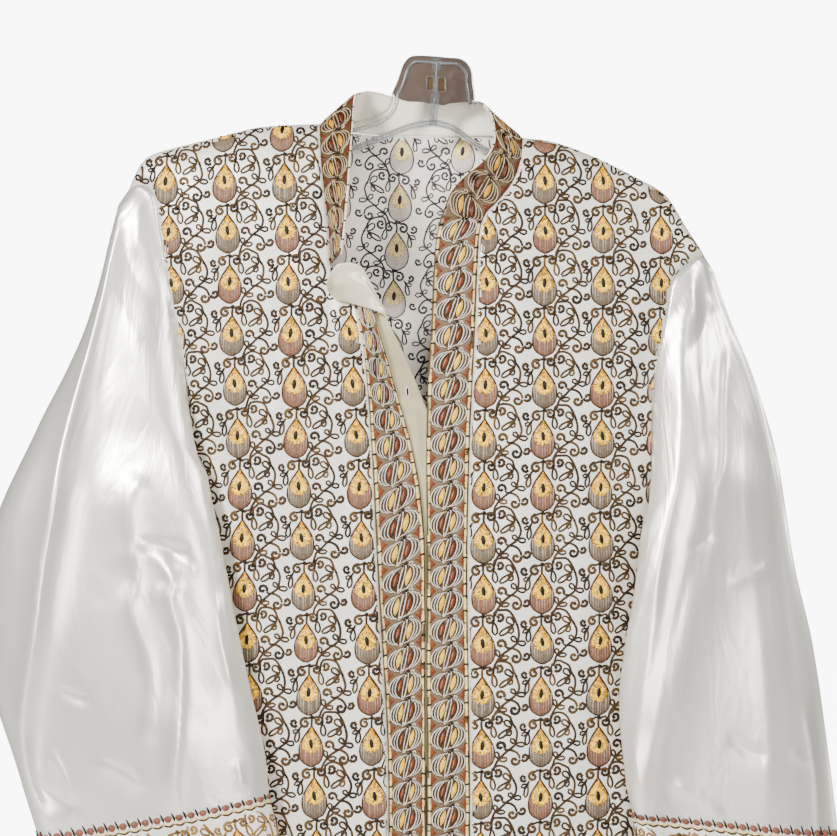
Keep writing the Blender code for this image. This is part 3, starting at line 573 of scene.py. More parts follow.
def addStrand(work, path, width, height, colour, step=2.4, closed=False, under=0.2, colourEnd=None,
              ends=(0.5, 0.5)):
    # closed three-sided strand on the flat, its back sunk in the cloth; ends narrow or thicken it
    points, at, total = resample(path, step, closed)
    count = len(points)
    ahead = directions(points, closed)
    side = unit(np.stack([-ahead[:, 1], ahead[:, 0]], -1))
    half = np.full(count, width / 2)
    if not closed:
        half[0] *= ends[0]
        half[-1] *= ends[1]
    flat = np.zeros(count)
    left = np.column_stack([points + side * half[:, None], flat - under])
    top = np.column_stack([points, flat + height])
    right = np.column_stack([points - side * half[:, None], flat - under])
    faces = []
    for i in range(count if closed else count - 1):
        a, b = 3 * i, 3 * ((i + 1) % count)
        faces += [[a, b, b + 1, a + 1], [a + 1, b + 1, b + 2, a + 2], [a + 2, b + 2, b, a]]
    if not closed:
        last = 3 * (count - 1)
        faces += [[0, 1, 2], [last + 2, last + 1, last]]
    strand = np.stack([left, top, right], 1).reshape(-1, 3)
    colour = np.asarray(colour, float)
    if colourEnd is not None:
        share = np.repeat(at / total, 3)[:, None]
        colour = mix(colour, np.asarray(colourEnd, float), share)
    run = np.column_stack([np.repeat(at, 3), np.tile([0, width / 2, width], count)])
    addPart(work, strand, faces, colour, run)


def cushion(rings, heights, under):
    # closed form through rings of points from the rim inward, its middle at the last height
    count, middle = len(rings[0]), rings[-1].mean(0)
    levels = [np.column_stack([ring, np.full(count, height)])
              for ring, height in zip(rings, (-under, *heights))]
    faces = [[k * count + i, k * count + (i + 1) % count, (k + 1) * count + (i + 1) % count,
              (k + 1) * count + i]
             for k in range(len(rings) - 1) for i in range(count)]
    top = (len(rings) - 1) * count
    faces += [[top + i, top + (i + 1) % count, top + count] for i in range(count)]
    faces.append(list(range(count))[::-1])
    points = np.vstack(levels + [[[*middle, heights[-1]]]])
    return points, faces, np.linalg.norm(points[:, :2] - middle, axis=1)


def addPatch(work, outline, height, colour, rows=2, under=0.2, upright=False):
    # low cushion over an outline; its stitches go round, or upright
    outline = np.asarray(outline, float)
    shares = [0, 0.07] + [(k - 1) / (rows - 0.2) for k in range(2, rows + 1)]
    points, faces, reach = cushion([mix(outline, outline.mean(0), share) for share in shares],
        (0.75 * height,) + rows * (height,), under)
    addPart(work, points, faces, colour, np.column_stack([points[:, 0] if upright
            else reach, points[:, 1]]))


def oval(x, z, halfX, halfZ, count, start=0.0):
    turns = start + np.linspace(0, 2 * pi, count, endpoint=False)
    return np.column_stack([x + np.cos(turns) * halfX, z + np.sin(turns) * halfZ])


def addTube(work, path, radius, colour, sides=6, closed=False, up=(0, 1, 0)):
    # round cord or bar along a path in space, with its ends closed
    path = np.asarray(path, float)
    count = len(path)
    ahead = directions(path, closed)
    side = unit(np.cross(ahead, np.array(up, float)))
    over = np.cross(side, ahead)
    turns = np.linspace(0, 2 * pi, sides, endpoint=False)[None, :, None]
    rings = path[:, None] + radius * (np.cos(turns) * side[:, None] + np.sin(turns) * over[:, None])
    faces = []
    for i in range(count if closed else count - 1):
        a, b = sides * i, sides * ((i + 1) % count)
        faces += [[a + k, b + k, b + (k + 1) % sides, a + (k + 1) % sides] for k in range(sides)]
    if not closed:
        faces += [list(range(sides))[::-1], [sides * (count - 1) + k for k in range(sides)]]
    at = lengthsAlong(path[:, None])
    run = np.column_stack([np.repeat(at, sides), np.tile(np.linspace(0, 4, sides), count)])
    addPart(work, rings.reshape(-1, 3), faces, colour, run)


def stitchingMesh(name, work):
    points = np.vstack(work["points"])
    mesh = bpy.data.meshes.new(name)
    mesh.from_pydata((points * mm).tolist(), [], work["faces"])
    attribute = mesh.attributes.new("threadColour", "FLOAT_COLOR", "POINT")
    values = np.column_stack([np.vstack(work["colours"]), np.concatenate(work["grain"])])
    attribute.data.foreach_set("color", values.astype(np.float32).ravel())
    corners = np.empty(len(mesh.loops), int)
    mesh.loops.foreach_get("vertex_index", corners)
    layer = mesh.uv_layers.new(name="run")
    layer.data.foreach_set("uv", (np.vstack(work["run"])[corners] * mm).astype(np.float32).ravel())
    editMesh(mesh, lambda bm: None)
    mesh.shade_smooth()
    return mesh


# x is to the right and z up from the drop's tip, in millimetres
drop = {"curlWidth": 3.7, "stemWidth": 2.9, "petalWidth": 2.6, "threadHeight": 0.75, "eyeZ": -16.0,
        "eyeLength": 9.4, "eyeWidth": 4.0}
dropHalf = table("z half", (0, 0.3), (-3, 2.0), (-6, 4.2), (-10, 6.9), (-14, 9.1), (-18, 10.4), (-22, 11.0),
                 (-26, 10.8), (-30, 9.6), (-33, 7.4), (-35.3, 4.4), (-36.5, 0.3))
goldHalf = table("z half", (-0.6, 0.2), (-3, 1.5), (-6, 3.5), (-10, 6.0), (-14, 8.1), (-17, 8.9),
                 (-20, 8.4),
                 (-22.6, 6.3), (-24.4, 3.5), (-25.2, 0.3))

# one repeat of the vine. spirals: centre, radius, angle of the outer end, signed turns inward
vine = {
    "spirals": [((6.4, 4.5), 3.6, -10, -1.0), ((14.8, 7.2), 4.0, -130, 1.1),
                ((15.9, -16.7), 4.4, -30, 1.05),
                ((28.8, -29.9), 4.3, 15, -1.05), ((38.4, -27.6), 3.7, 205, 1.05),
                ((-6.4, 2.3), 4.5, 70, 1.2),
                ((-15.9, 1.5), 3.6, -43, -1.1)],
    "petals": [((9.8, 2.6), (11.4, -8.0), 4.2), ((14.4, -28.4), (12.3, -22.6), 3.5),
               ((14.2, -29.4), (21.6, -29.0), 3.5),
               ((27.6, 0.2), (21.2, 6.0), 4.8), ((27.2, -0.4), (15.2, -8.8), 3.8),
               ((25.7, -0.9), (24.2, -7.0), 4.0),
               ((29.9, -15.1), (25.9, -10.8), 3.8), ((29.9, -15.4), (37.6, -16.2), 3.8),
               ((-11.6, -4.4), (-13.0, -15.4), 3.8), ((-11.8, -4.2), (-17.0, -6.6), 3.2)],
    "stems": [[(9.8, 4.2), (9.9, 9.6), (12.4, 12.4), (17.0, 13.4), (22.2, 12.2), (25.6, 9.0), (28.2, 4.4),
               (29.9, 0.8)],
              [(29.9, 0.8), (31.8, -3.8), (32.4, -8.3), (31.6, -12.6), (29.2, -16.4), (24.2, -20.4),
               (18.9, -25.0),
               (14.4, -28.6), (10.8, -34.6), (9.9, -39.0)],
              [(24.2, -20.4), (28.0, -21.4), (31.8, -24.0), (33.7, -28.8)],
              [(24.2, -20.4), (21.6, -20.3), (19.6, -18.9)],
              [(1.4, 6.4), (5.3, 8.6), (8.4, 7.2), (9.8, 4.0)], [(0.2, 7.6), (-2.4, 7.3), (-4.9, 6.4)],
              [(-11.4, -3.8), (-9.6, -1.2)], [(0.3, 8.0), (-0.3, 3.4), (0.0, -0.6)]],
    "dots": [(0.3, 8.0, 2.1), (9.8, 3.7, 1.5), (29.9, 0.4, 1.5), (-11.4, -4.1, 1.6), (24.2, -20.3, 1.3)],
}

# thread shades of the three kinds of work: dark, middle and light ply, gold, and the two fringes
outerWork = {"ply": ("darkThread", "brownThread", "tanThread"), "gold": ("gold", "paleGold"),
             "fringe": ("taupe", "rose"),
             "rim": "brownThread", "girth": 1.0}
innerWork = {"ply": ("innerThread", "innerThread", "greyThread"), "gold": ("innerGold", "innerGold"),
             "fringe": ("innerFringe", "innerFringe"), "rim": "innerThread", "girth": 0.6}
cuffWork = {"ply": ("goldShade", "goldThread", "goldLight"), "gold": ("gold", "paleGold"),
            "fringe": ("taupe", "rose"),
            "rim": "goldShade", "girth": 1.0}


def plyShade(kind):
    # mostly the dark ply, with lengths where the lighter plies come up
    dark, middle, light = (linear[name] for name in kind["ply"])
    return mix(mix(dark, middle, draws.uniform(0.0, 0.8)), light, max(0.0, draws.normal(0.0, 0.14)))


def spiral(centre, radius, start, turns):
    # from the outside in; start is the angle of its outer end, turns is signed
    t = np.linspace(0, 1, 24)
    angle = np.radians(start) + 2 * pi * turns * t
    reach = radius * (1 - 0.72 * t ** 1.15)
    return np.column_stack([centre[0] + reach * np.cos(angle), centre[1] + reach * np.sin(angle)])


def petal(node, tip, width):
    node, tip = np.array(node, float), np.array(tip, float)
    along = tip - node
    side = np.array([-along[1], along[0]]) / max(1e-6, np.hypot(*along)) * width / 2
    return smoothPath([node, node + along * 0.35 + side * 0.75, node + along * 0.78 + side,
        tip + along * 0.06, node + along * 0.78 - side, node + along * 0.35 - side * 0.75, node], 5)


def outlineOf(rows, zs, tip=(), inset=0.0):
    # down the right side of a table of half widths, through the tip and up the left side
    zs = np.array(zs)
    halves = read(rows, "z", "half", zs) - inset
    return np.vstack([np.column_stack([halves, zs]), *tip, np.column_stack([-halves[::-1], zs[::-1]])])


def goldHeart(work, kind):
    # gold chain stitch worked round and round the eye
    rim = outlineOf(goldHalf, [-0.6, -4, -8, -12, -15.5, -18.5, -21.3, -23.6], [(0, -25.2)])
    eye = np.array([0, drop["eyeZ"]])
    rings = [mix(rim, eye, share) for share in (0.0, 0.1, 0.34, 0.62)]
    deep, pale = (linear[name] for name in kind["gold"])
    warmth = np.clip(0.75 + rim[:, 1] / 26, 0, 1)[:, None]
    colours = []
    for near in (0.6, 0.5, 0.12, 0.0):
        depth = np.clip(near + 0.5 * warmth + draws.uniform(-0.12, 0.12, (len(rim), 1)), 0, 1)
        colours.append(mix(pale, deep, depth))
    points, faces, reach = cushion(rings, (1.0, 1.45, 1.5), 0.3)
    turns = np.append(np.tile(np.linspace(0, 40, len(rim)), len(rings)), 0)
    addPart(work, points, faces, np.vstack(colours + [colours[-1][:1]]), np.column_stack([turns, reach]),
            1.0)


def fringe(work, tone, fine):
    # satin stitches that hang from the gold, over a layer of their own colour
    under = outlineOf(dropHalf, [-12.0, -17, -22, -27, -31, -34, -36.2], inset=0.2)
    addPatch(work, under, 0.4, tone * 0.85, rows=2, upright=True)
    if not fine:
        return
    lower = dropHalf["z"] <= -21.9
    for x in np.linspace(-9.6, 9.6, 9):
        bottom = np.interp(-abs(x), -dropHalf["half"][lower], dropHalf["z"][lower])
        top = np.interp(-abs(x), -goldHalf["half"][5:], goldHalf["z"][5:]) if abs(x) < 8.9 else -16.5
        pale = draws.uniform(0, 0.32)
        shade = mix(tone, linear["creamThread"], pale) * draws.uniform(0.85, 1.12)
        addStrand(work, [(x, top + 0.9), (x * 0.98, bottom + 0.7)], 1.9, 1.25, shade, step=30, under=-0.1,
                  colourEnd=mix(shade, tone * 0.8, 0.6), ends=(0.9, 0.7))


def dropAndVine(name, rosy, step, kind, fine=True):
    work = newStitching()
    girth = kind["girth"]
    tone = linear[kind["fringe"][1 if rosy else 0]] * draws.uniform(0.95, 1.08)
    fringe(work, tone, fine)
    goldHeart(work, kind)
    outline = outlineOf(dropHalf, [*np.linspace(-0.3, -26, 8), -30, -33.4, -36.0], [(0, -36.9)])
    rim = mix(linear[kind["rim"]], linear[kind["ply"][0]], 0.35)
    addStrand(work, outline, 1.9 * girth, 0.9, rim, step=step * 1.35, closed=True)
    eye = oval(0, drop["eyeZ"], drop["eyeWidth"] / 2, drop["eyeLength"] / 2, 8)
    eye[:, 0] += draws.uniform(-0.6, 0.6) * (eye[:, 1] - drop["eyeZ"]) * 2 / drop["eyeLength"]
    addPatch(work, eye, 2.2, linear[kind["ply"][0]] * 0.5, rows=1, under=-1.3)
    loose = 0.4
    for centre, radius, start, turns in vine["spirals"]:
        moved = np.array(centre) + draws.normal(0, loose, 2)
        path = spiral(moved, radius * draws.uniform(0.94, 1.08), start + draws.uniform(-10, 10), turns)
        addStrand(work, path, drop["curlWidth"] * girth, drop["threadHeight"], plyShade(kind), step,
                  colourEnd=plyShade(kind), ends=(0.8, 1.15))
    for node, tip, width in vine["petals"]:
        path = petal(node, np.array(tip) + draws.normal(0, loose, 2), width * draws.uniform(0.9, 1.12))
        addStrand(work, path, drop["petalWidth"] * girth, drop["threadHeight"], plyShade(kind), step,
                  colourEnd=plyShade(kind))
    for knots in vine["stems"]:
        knots = np.array(knots) + np.vstack([[0, 0], draws.normal(0, loose, (len(knots) - 2, 2)), [0, 0]])
        addStrand(work, smoothPath(knots, 4), drop["stemWidth"] * girth, drop["threadHeight"],
            plyShade(kind), step * 1.2, colourEnd=plyShade(kind), ends=(0.9, 0.9))
    for x, z, radius in vine["dots"]:
        addPatch(work, oval(x, z, radius, radius, 4, 0.4), 1.1, linear[kind["ply"][0]] * 0.7, rows=1)
    return stitchingMesh(name, work)


def repeatTree(name, cells, sizes, material):
    # a field of repeats on the flat: pitches, lean of the columns, seed for small turns and sizes
    tree = bpy.data.node_groups.new(name, "GeometryNodeTree")
    for label, (kind, value) in sizes.items():
        tree.interface.new_socket(label, in_out="INPUT", socket_type=kind).default_value = value
    tree.interface.new_socket("Geometry", in_out="OUTPUT", socket_type="NodeSocketGeometry")
    given = addNode(tree, "NodeGroupInput").outputs
    place = addNode(tree, "GeometryNodeInputPosition")
    xyz = addNode(tree, "ShaderNodeSeparateXYZ", {}, {0: place})
    pick = addNode(tree, "FunctionNodeRandomValue", {"data_type": "INT"},
        {"Min": 0, "Max": len(cells) // 2 - 1, "Seed": given["Seed"]})
    known = {label: given[label] for label in sizes}
    known.update(x=xyz.outputs["X"], y=xyz.outputs["Y"], pick=pick.outputs[2])
    # the two kinds of a repeat alternate like a chequerboard, from fromLeft down to swap
    for label, operation, first, second in (("spanX", "MULTIPLY", "Columns less one", "Column pitch"),
            ("spanY", "MULTIPLY", "Rows less one", "Row pitch"), ("countX", "ADD", "Columns less one",
            1.0), ("countY", "ADD", "Rows less one", 1.0), ("slide", "MULTIPLY", "y", "Lean"),
            ("fromLeft", "DIVIDE", "x", "Column pitch"), ("fromTop", "DIVIDE", "y", "Row pitch"),
            ("both", "ADD", "fromLeft", "fromTop"), ("shifted", "ADD", "both", "Phase"),
            ("whole", "ROUND", "shifted", 0.0), ("swap", "FLOORED_MODULO", "whole", 2.0),
            ("doubled", "MULTIPLY", "pick", 2.0), ("index", "ADD", "doubled", "swap")):
        known[label] = addNode(tree, "ShaderNodeMath", {"operation": operation},
            {0: known[first], 1: known.get(second, second)}).outputs[0]
    grid = addNode(tree, "GeometryNodeMeshGrid", {}, {"Size X": known["spanX"], "Size Y": known["spanY"],
        "Vertices X": known["countX"], "Vertices Y": known["countY"]})
    offset = addNode(tree, "ShaderNodeCombineXYZ", {}, {"X": known["slide"]})
    stored = addNode(tree, "GeometryNodeStoreNamedAttribute", {"data_type": "INT", "domain": "POINT"},
        {"Geometry": grid, "Name": "kind", "Value": known["index"]})
    leaning = addNode(tree, "GeometryNodeSetPosition", {}, {"Geometry": stored,
        "Offset": offset})
    together = addNode(tree, "GeometryNodeGeometryToInstance")
    for cell in reversed(cells):
        one = addNode(tree, "GeometryNodeObjectInfo", {"transform_space": "ORIGINAL"}, {"Object": cell})
        tree.links.new(one.outputs["Geometry"], together.inputs[0])
    kind = addNode(tree, "GeometryNodeInputNamedAttribute", {"data_type": "INT"}, {"Name": "kind"})
    turn = addNode(tree, "FunctionNodeRandomValue", {"data_type": "FLOAT_VECTOR"},
        {"Min": (0, 0, -0.035), "Max": (0, 0, 0.035), "Seed": given["Seed"]})
    growth = addNode(tree, "FunctionNodeRandomValue", {"data_type": "FLOAT"},
        {2: 0.965, 3: 1.03, "Seed": given["Seed"]})
    placed = addNode(tree, "GeometryNodeInstanceOnPoints", {}, {"Points": leaning,
        "Instance": together, "Pick Instance": True, "Instance Index": kind,
        "Rotation": turn, "Scale": growth.outputs[1]})
    real = addNode(tree, "GeometryNodeRealizeInstances", {}, {"Geometry": placed})
    dressed = addNode(tree, "GeometryNodeSetMaterial", {},
        {"Geometry": real, "Material": material})
    addNode(tree, "NodeGroupOutput", {}, {"Geometry": dressed})
    return tree


def runTree(tree, values):
    # the tree's result as a plain mesh
    carrier = bpy.data.objects.new(tree.name, bpy.data.meshes.new(tree.name))
    bpy.context.scene.collection.objects.link(carrier)
    modifier = carrier.modifiers.new("repeat", "NODES")
    modifier.node_group = tree
    names = {item.name: item.identifier for item in tree.interface.items_tree if item.in_out == "INPUT"}
    for label, value in values.items():
        modifier[names[label]] = value
    mesh = evaluatedMesh(carrier)
    bpy.data.objects.remove(carrier, do_unlink=True)
    return mesh


def flatPoints(mesh):
    points = np.empty(len(mesh.vertices) * 3, np.float32)
    mesh.vertices.foreach_get("co", points)
    return points.reshape(-1, 3).astype(float) / mm


def layOn(mesh, place, inside):
    # moves a flat mesh on to the cloth, cuts away what lies outside it and closes the cuts
    flat = flatPoints(mesh)
    kept = inside(flat[:, 0], flat[:, 1])
    base, normal = place(flat[:, 0], flat[:, 1])
    points = (base + normal * flat[:, 2:]) * mm
    mesh.vertices.foreach_set("co", points.astype(np.float32).ravel())

    def cut(bm):
        bm.verts.ensure_lookup_table()
        bmesh.ops.delete(bm, geom=[bm.verts[i] for i in np.flatnonzero(~kept)], context="VERTS")
        bmesh.ops.delete(bm, geom=[edge for edge in bm.edges if not edge.link_faces], context="EDGES")
        bmesh.ops.holes_fill(bm, edges=[edge for edge in bm.edges if edge.is_boundary], sides=0)
    editMesh(mesh, cut)
    mesh.shade_smooth()
    return mesh


def panelPlace(surface, towards):
    # points of y = surface(x, z) and their normals, which point to the towards side of Y
    def place(x, z):
        slopeX = (surface(x + 1, z) - surface(x - 1, z)) / 2
        slopeZ = (surface(x, z + 1) - surface(x, z - 1)) / 2
        normals = unit(np.stack([-slopeX, np.ones_like(x), -slopeZ], -1)) * towards
        return np.stack([x, surface(x, z), z], -1), normals
    return place


def insideOutline(outline):
    # points within a closed outline, counted by crossings to the right
    outline = np.asarray(outline, float)

    def test(x, z):
        within = np.zeros(len(x), bool)
        for a, b in zip(outline, np.roll(outline, -1, 0)):
            crosses = (a[1] > z) != (b[1] > z)
            if not crosses.any():
                continue
            at = a[0] + (z - a[1]) * (b[0] - a[0]) / (b[1] - a[1] if b[1] != a[1] else 1e-9)
            within ^= crosses & (x < at)
        return within
    return test


fieldSizes = {"Columns less one": ("NodeSocketInt", 3), "Rows less one": ("NodeSocketInt", 20),
              "Column pitch": ("NodeSocketFloat", 0.054), "Row pitch": ("NodeSocketFloat", 0.046),
              "Lean": ("NodeSocketFloat", 0.0), "Phase": ("NodeSocketFloat", 0.0),
              "Seed": ("NodeSocketInt", 3)}


def field(tree, columns, rows, firstX, firstZ, pitchX, pitchZ, lean, phase, seed):
    # flat field of repeats whose top left drop has its tip at firstX, firstZ
    mesh = runTree(tree, {"Columns less one": columns - 1, "Rows less one": rows - 1,
        "Column pitch": pitchX * mm, "Row pitch": pitchZ * mm, "Lean": lean, "Phase": float(phase),
        "Seed": seed})
    middleX = firstX + (columns - 1) * pitchX / 2
    middleZ = firstZ - (rows - 1) * pitchZ / 2
    shift = Vector((middleX * mm, middleZ * mm, 0))
    for vertex in mesh.vertices:
        vertex.co += shift
    return mesh


def mirrored(mesh):
    for vertex in mesh.vertices:
        vertex.co.x = -vertex.co.x
    mesh.flip_normals()
    return mesh


def cellSet(name, step, kind, fine=True):
    return [bpy.data.objects.new("%s_%d" % (name, i), dropAndVine("%s_%d" % (name, i), i % 2 == 0, step,
        kind, fine)) for i in range(4)]


fineCells = cellSet("frontCell", 2.5, outerWork)
fineTree = repeatTree("drop_and_vine_repeat", fineCells, fieldSizes, chainThread)
coarseTree = repeatTree("drop_and_vine_back_repeat", cellSet("backCell", 4.2, outerWork, False), fieldSizes,
    chainThread)
innerTree = repeatTree("drop_and_vine_inner_repeat", cellSet("innerCell", 2.8, innerWork, False),
    fieldSizes, innerThreadWork)
cuffTree = repeatTree("drop_and_vine_cuff_repeat", cellSet("cuffCell", 3.2, cuffWork, False), fieldSizes,
    chainThread)
print("stitched repeats made", sum(len(cell.data.polygons) for cell in fineCells) // 4, "faces each")

bodyPanels = {"columns": 36, "upperRows": 60, "lowerRows": 70, "edgeInset": 0.8, "wall": 1.0}
# where each field of repeats starts and how it is set out, in millimetres
fields = {name: dict(zip("columns rows firstX firstZ pitchX pitchZ lean phase seed".split(), values))
          for name, *values in (
              ("left", 6, 23, -276.4, -35.9, 54.0, 46.2, -0.05, 0, 5),
              ("right", 6, 23, 41.2, -36.5, 53.0, 46.3, 0.01, 1, 8),
              ("upper", 12, 11, -318, -28.5, 54.0, 46.2, 0.0, 0, 9),
              ("lower", 12, 12, -318, -536.7, 54.0, 46.2, 0.0, 1, 20),
              ("inner", 5, 9, 0, -48.5, 57.0, 45.1, -0.06, 0, 4))}
innerBack = {"depth": 1.2, "firstX": -156.0, "left": -150, "right": 105, "bottom": -430}
rowSteps = np.concatenate([np.linspace(0, 12, bodyPanels["upperRows"]),
    np.linspace(12, 24, bodyPanels["lowerRows"])[1:]])[:, None]
shareSteps = np.linspace(0, 1, bodyPanels["columns"])[None, :]
leftGrid = frontPoint(frontLeftRows, rowSteps, shareSteps, True)
rightGrid = frontPoint(frontRightRows, rowSteps, shareSteps, False)
backGrid = backPoint(rowSteps, np.linspace(0, 1, 2 * bodyPanels["columns"])[None, :])
frontLeft = cloth("front_left_cloth", leftGrid, bodyPanels["wall"], groundCloth, outward=(0, -1, 0))
frontRight = cloth("front_right_cloth", rightGrid, bodyPanels["wall"], groundCloth, outward=(0, -1, 0))
back = cloth("back_cloth", backGrid, bodyPanels["wall"], groundCloth, outward=(0, 1, 0),
             reverse=reverseCloth)
print("body panels made")


def gridOutline(grid):
    # the panel's edge seen from the front, a little inward
    edge = np.vstack([grid[0, :], grid[1:, -1], grid[-1, -2::-1], grid[-2:0:-1, 0]])[:, [0, 2]]
    ahead = np.roll(edge, -1, 0) - np.roll(edge, 1, 0)
    inward = unit(np.stack([ahead[:, 1], -ahead[:, 0]], -1))
    if ((edge.mean(0) - edge) * inward).sum() < 0:
        inward = -inward
    return edge + inward * bodyPanels["edgeInset"]


def panelWork(name, flat, surface, towards, inside, material=chainThread):
    return newPiece(name, layOn(flat, panelPlace(surface, towards), inside), material)


leftWork = panelWork("front_left_embroidery", field(fineTree, **fields["left"]), lambda x,
    z: frontY(x, z, True), -1, insideOutline(gridOutline(leftGrid)))
rightWork = panelWork("front_right_embroidery", field(fineTree, **fields["right"]), frontY, -1,
    insideOutline(gridOutline(rightGrid)))
print("front embroidery", len(leftWork.data.polygons), len(rightWork.data.polygons))
backOutline = insideOutline(gridOutline(backGrid))
backParts = [panelWork("back_embroidery_" + label, field(coarseTree, **fields[label]), backY, 1,
                       backOutline)
             for label in ("upper", "lower")]

# the wrong side of the back, seen through the neck: the same work mirrored, in the bobbin thread
innerFlat = mirrored(field(innerTree, **fields["inner"]))
for vertex in innerFlat.vertices:
    vertex.co.x += (innerBack["firstX"] + (fields["inner"]["columns"] - 1) * fields["inner"]["pitchX"]) * mm
innerWorkPiece = panelWork("back_inner_embroidery", innerFlat, lambda x,
    z: backY(x, z) - innerBack["depth"], -1, lambda x, z: (backOutline(x, z) & (z > innerBack["bottom"])
    & (x > innerBack["left"]) & (x < innerBack["right"])), innerThreadWork)
print("back embroidery", [len(part.data.polygons) for part in backParts], len(innerWorkPiece.data.polygons))


def sampled(values, row, column):
    # values of a grid between its rows and columns
    r, c = (np.clip(at.astype(int), 0, count - 2) for at, count in zip((row, column), values.shape))
    fr, fc = (row - r)[:, None], (column - c)[:, None]
    return mix(mix(values[r, c], values[r, c + 1], fc), mix(values[r + 1, c], values[r + 1, c + 1], fc), fr)


def stripPlace(grid, width, outward):
    # grid rows run along the strip; flat x is across it from its middle, flat z down along it
    along = lengthsAlong(grid)
    normals = unit(np.cross(np.gradient(grid, axis=1), np.gradient(grid, axis=0)))
    if (normals * outward).sum() < 0:
        normals = -normals

    def place(x, z):
        row = np.interp(-z, along, np.arange(len(along)))
        column = np.clip(0.5 + x / width, 0, 1) * (grid.shape[1] - 1)
        return sampled(grid, row, column), unit(sampled(normals, row, column))

    def inside(x, z):
        return (-z > 0.4) & (-z < along[-1] - 0.4) & (np.abs(x) < width / 2 - 0.2)
    return place, inside, along[-1]


border = {"pitch": 24.0, "width": 39.0, "pipingAt": 17.6, "pipingWidth": 3.5, "rows": 150, "columns": 10,
          "wall": 1.0}
medallion = {"halfWidth": 16.0, "halfHeight": 12.4, "shear": 0.26, "lensHalfLength": 8.0, "lensWidth": 5.2}


def sheared(points):
    # the whole figure leans, its two halves slide past one another
    points = np.array(points, float)
    points[:, 0] += medallion["shear"] * points[:, 1]
    return points


def arc(side, out, slide=0.0):
    # one line round a half of the medallion, at a distance out from its middle
    t = np.linspace(-1, 1, 9)
    high = medallion["halfHeight"] * (1.0 - 0.006 * out)
    bow = (1 - np.abs(t) ** 2.4) ** 0.62
    return sheared(np.column_stack([side * (0.4 + (out - 0.4) * bow), high * t + slide]))


def medallionMesh(name, goldLeft):
    work = newStitching()
    ink, grey, pale = linear["inkThread"], linear["greyThread"], linear["creamThread"]
    base = sheared(oval(0, 0, medallion["halfWidth"], medallion["halfHeight"], 16))
    addPatch(work, base, 0.35, mix(grey, linear["brownThread"], draws.uniform(0.6, 0.95)), rows=1)
    for side, isGold in ((-1, goldLeft), (1, not goldLeft)):
        slide = side * 0.4
        tone = linear["paleGold"] if isGold else linear["rust"]
        middle = np.array([side * 5.0, slide])
        length, width = medallion["lensHalfLength"] * (1.0 if isGold else 0.85), medallion["lensWidth"]
        swing = np.array([0, length])
        t = np.linspace(0, 1, 7)
        swell = np.sin(pi * t)
        left = np.column_stack([middle[0] - swell * width / 2, middle[1] - swing[1] + 2 * swing[1] * t])
        right = np.column_stack([middle[0] + swell * width / 2, middle[1] - swing[1] + 2 * swing[1] * t])
        lens = sheared(np.vstack([left, right[-2:0:-1]]))
        addPatch(work, lens, 1.05, tone * draws.uniform(0.9, 1.05), rows=1)
        addStrand(work, mix(lens, lens.mean(0), -0.16), 1.5, 0.95, ink * draws.uniform(0.8, 1.3), step=3.4,
                  closed=True)
        if not isGold:
            addStrand(work, sheared([(middle[0] - 0.7, slide - length * 0.6),
                (middle[0] - 0.4, slide + length * 0.5)]), 0.9, 1.35, mix(tone, pale, 0.6), step=5)
        for k, out in enumerate((1.7, 9.3, 12.1, 15.0)):
            shade = mix(pale, grey, draws.uniform(0.0, 0.25) if k != 2 else 0.35)
            addStrand(work, arc(side, out, slide), 1.3, 1.0, shade, step=3.6)
        for k, out in enumerate((10.7, 13.6)):
            addStrand(work, arc(side, out, slide), 1.9, 1.0, mix(ink, grey, draws.uniform(0.1, 0.6)),
                      step=4.2)
    addStrand(work, sheared([(-2.4, -10.8), (-0.5, -4.0), (0.5, 4.0), (2.4, 10.8)]), 1.3, 1.0, ink, step=4)
    for x, z, radius in ((3.6, 12.1, 1.7), (1.2, 10.6, 1.3)):
        addPatch(work, oval(x, z, radius, radius, 4, 0.5), 1.5, linear["darkThread"] * 0.8, rows=1)
    for centre, start, turns in (((-2.4, 12.4), 20, 0.9), ((8.0, 11.6), 200, -0.9)):
        addStrand(work, spiral(centre, 2.1, start, turns), 1.2, 0.9, mix(pale, grey, 0.1), step=2.2)
    # rust wedges along both edges between the medallions
    for side in (-1, 1):
        edge, tip, high = side * 16.0, side * 10.6, 12.0 + side * 1.4
        wedge = [(edge, high + 5.6), (edge, high), (edge, high - 5.6), (mix(edge, tip, 0.6), high - 1.6),
                 (tip, high),
                 (mix(edge, tip, 0.6), high + 1.6)]
        wedge = np.array(wedge)[::side]
        addPatch(work, wedge, 0.7, linear["rust"] * draws.uniform(0.85, 1.15), rows=1)
    return stitchingMesh(name, work)


def pipingMesh(name, length):
    # piping down both edges of one repeat, with the small dark stitches that hold it
    work = newStitching()
    for side in (-1, 1):
        x = side * border["pipingAt"]
        addStrand(work, [(x, -length / 2 - 0.2), (x, length / 2 + 0.2)], border["pipingWidth"], 1.5,
                  linear["piping"] * draws.uniform(0.96, 1.03), step=length / 3, under=0.2, ends=(1, 1))
        for k in (-0.25, 0.25):
            z = length * k + draws.uniform(-0.9, 0.9)
            tilt = draws.uniform(-0.5, 0.5)
            bar = [(x - 1.7, z - 0.9 - tilt), (x + 1.7, z - 0.9 + tilt), (x + 1.7, z + 0.9 + tilt),
                   (x - 1.7, z + 0.9 - tilt)]
            addPatch(work, bar, 2.0, linear["darkThread"] * 0.6, rows=1)
    return stitchingMesh(name, work)


def borderMesh(name, goldLeft):
    return joined(medallionMesh(name + "_medallion", goldLeft),
        pipingMesh(name + "_piping", border["pitch"]))


borderCells = [bpy.data.objects.new("borderCell_%d" % i, borderMesh("borderCell_%d" % i, i % 2 == 0))
               for i in range(4)]
borderTree = repeatTree("border_medallion_repeat", borderCells, fieldSizes, bandThread)


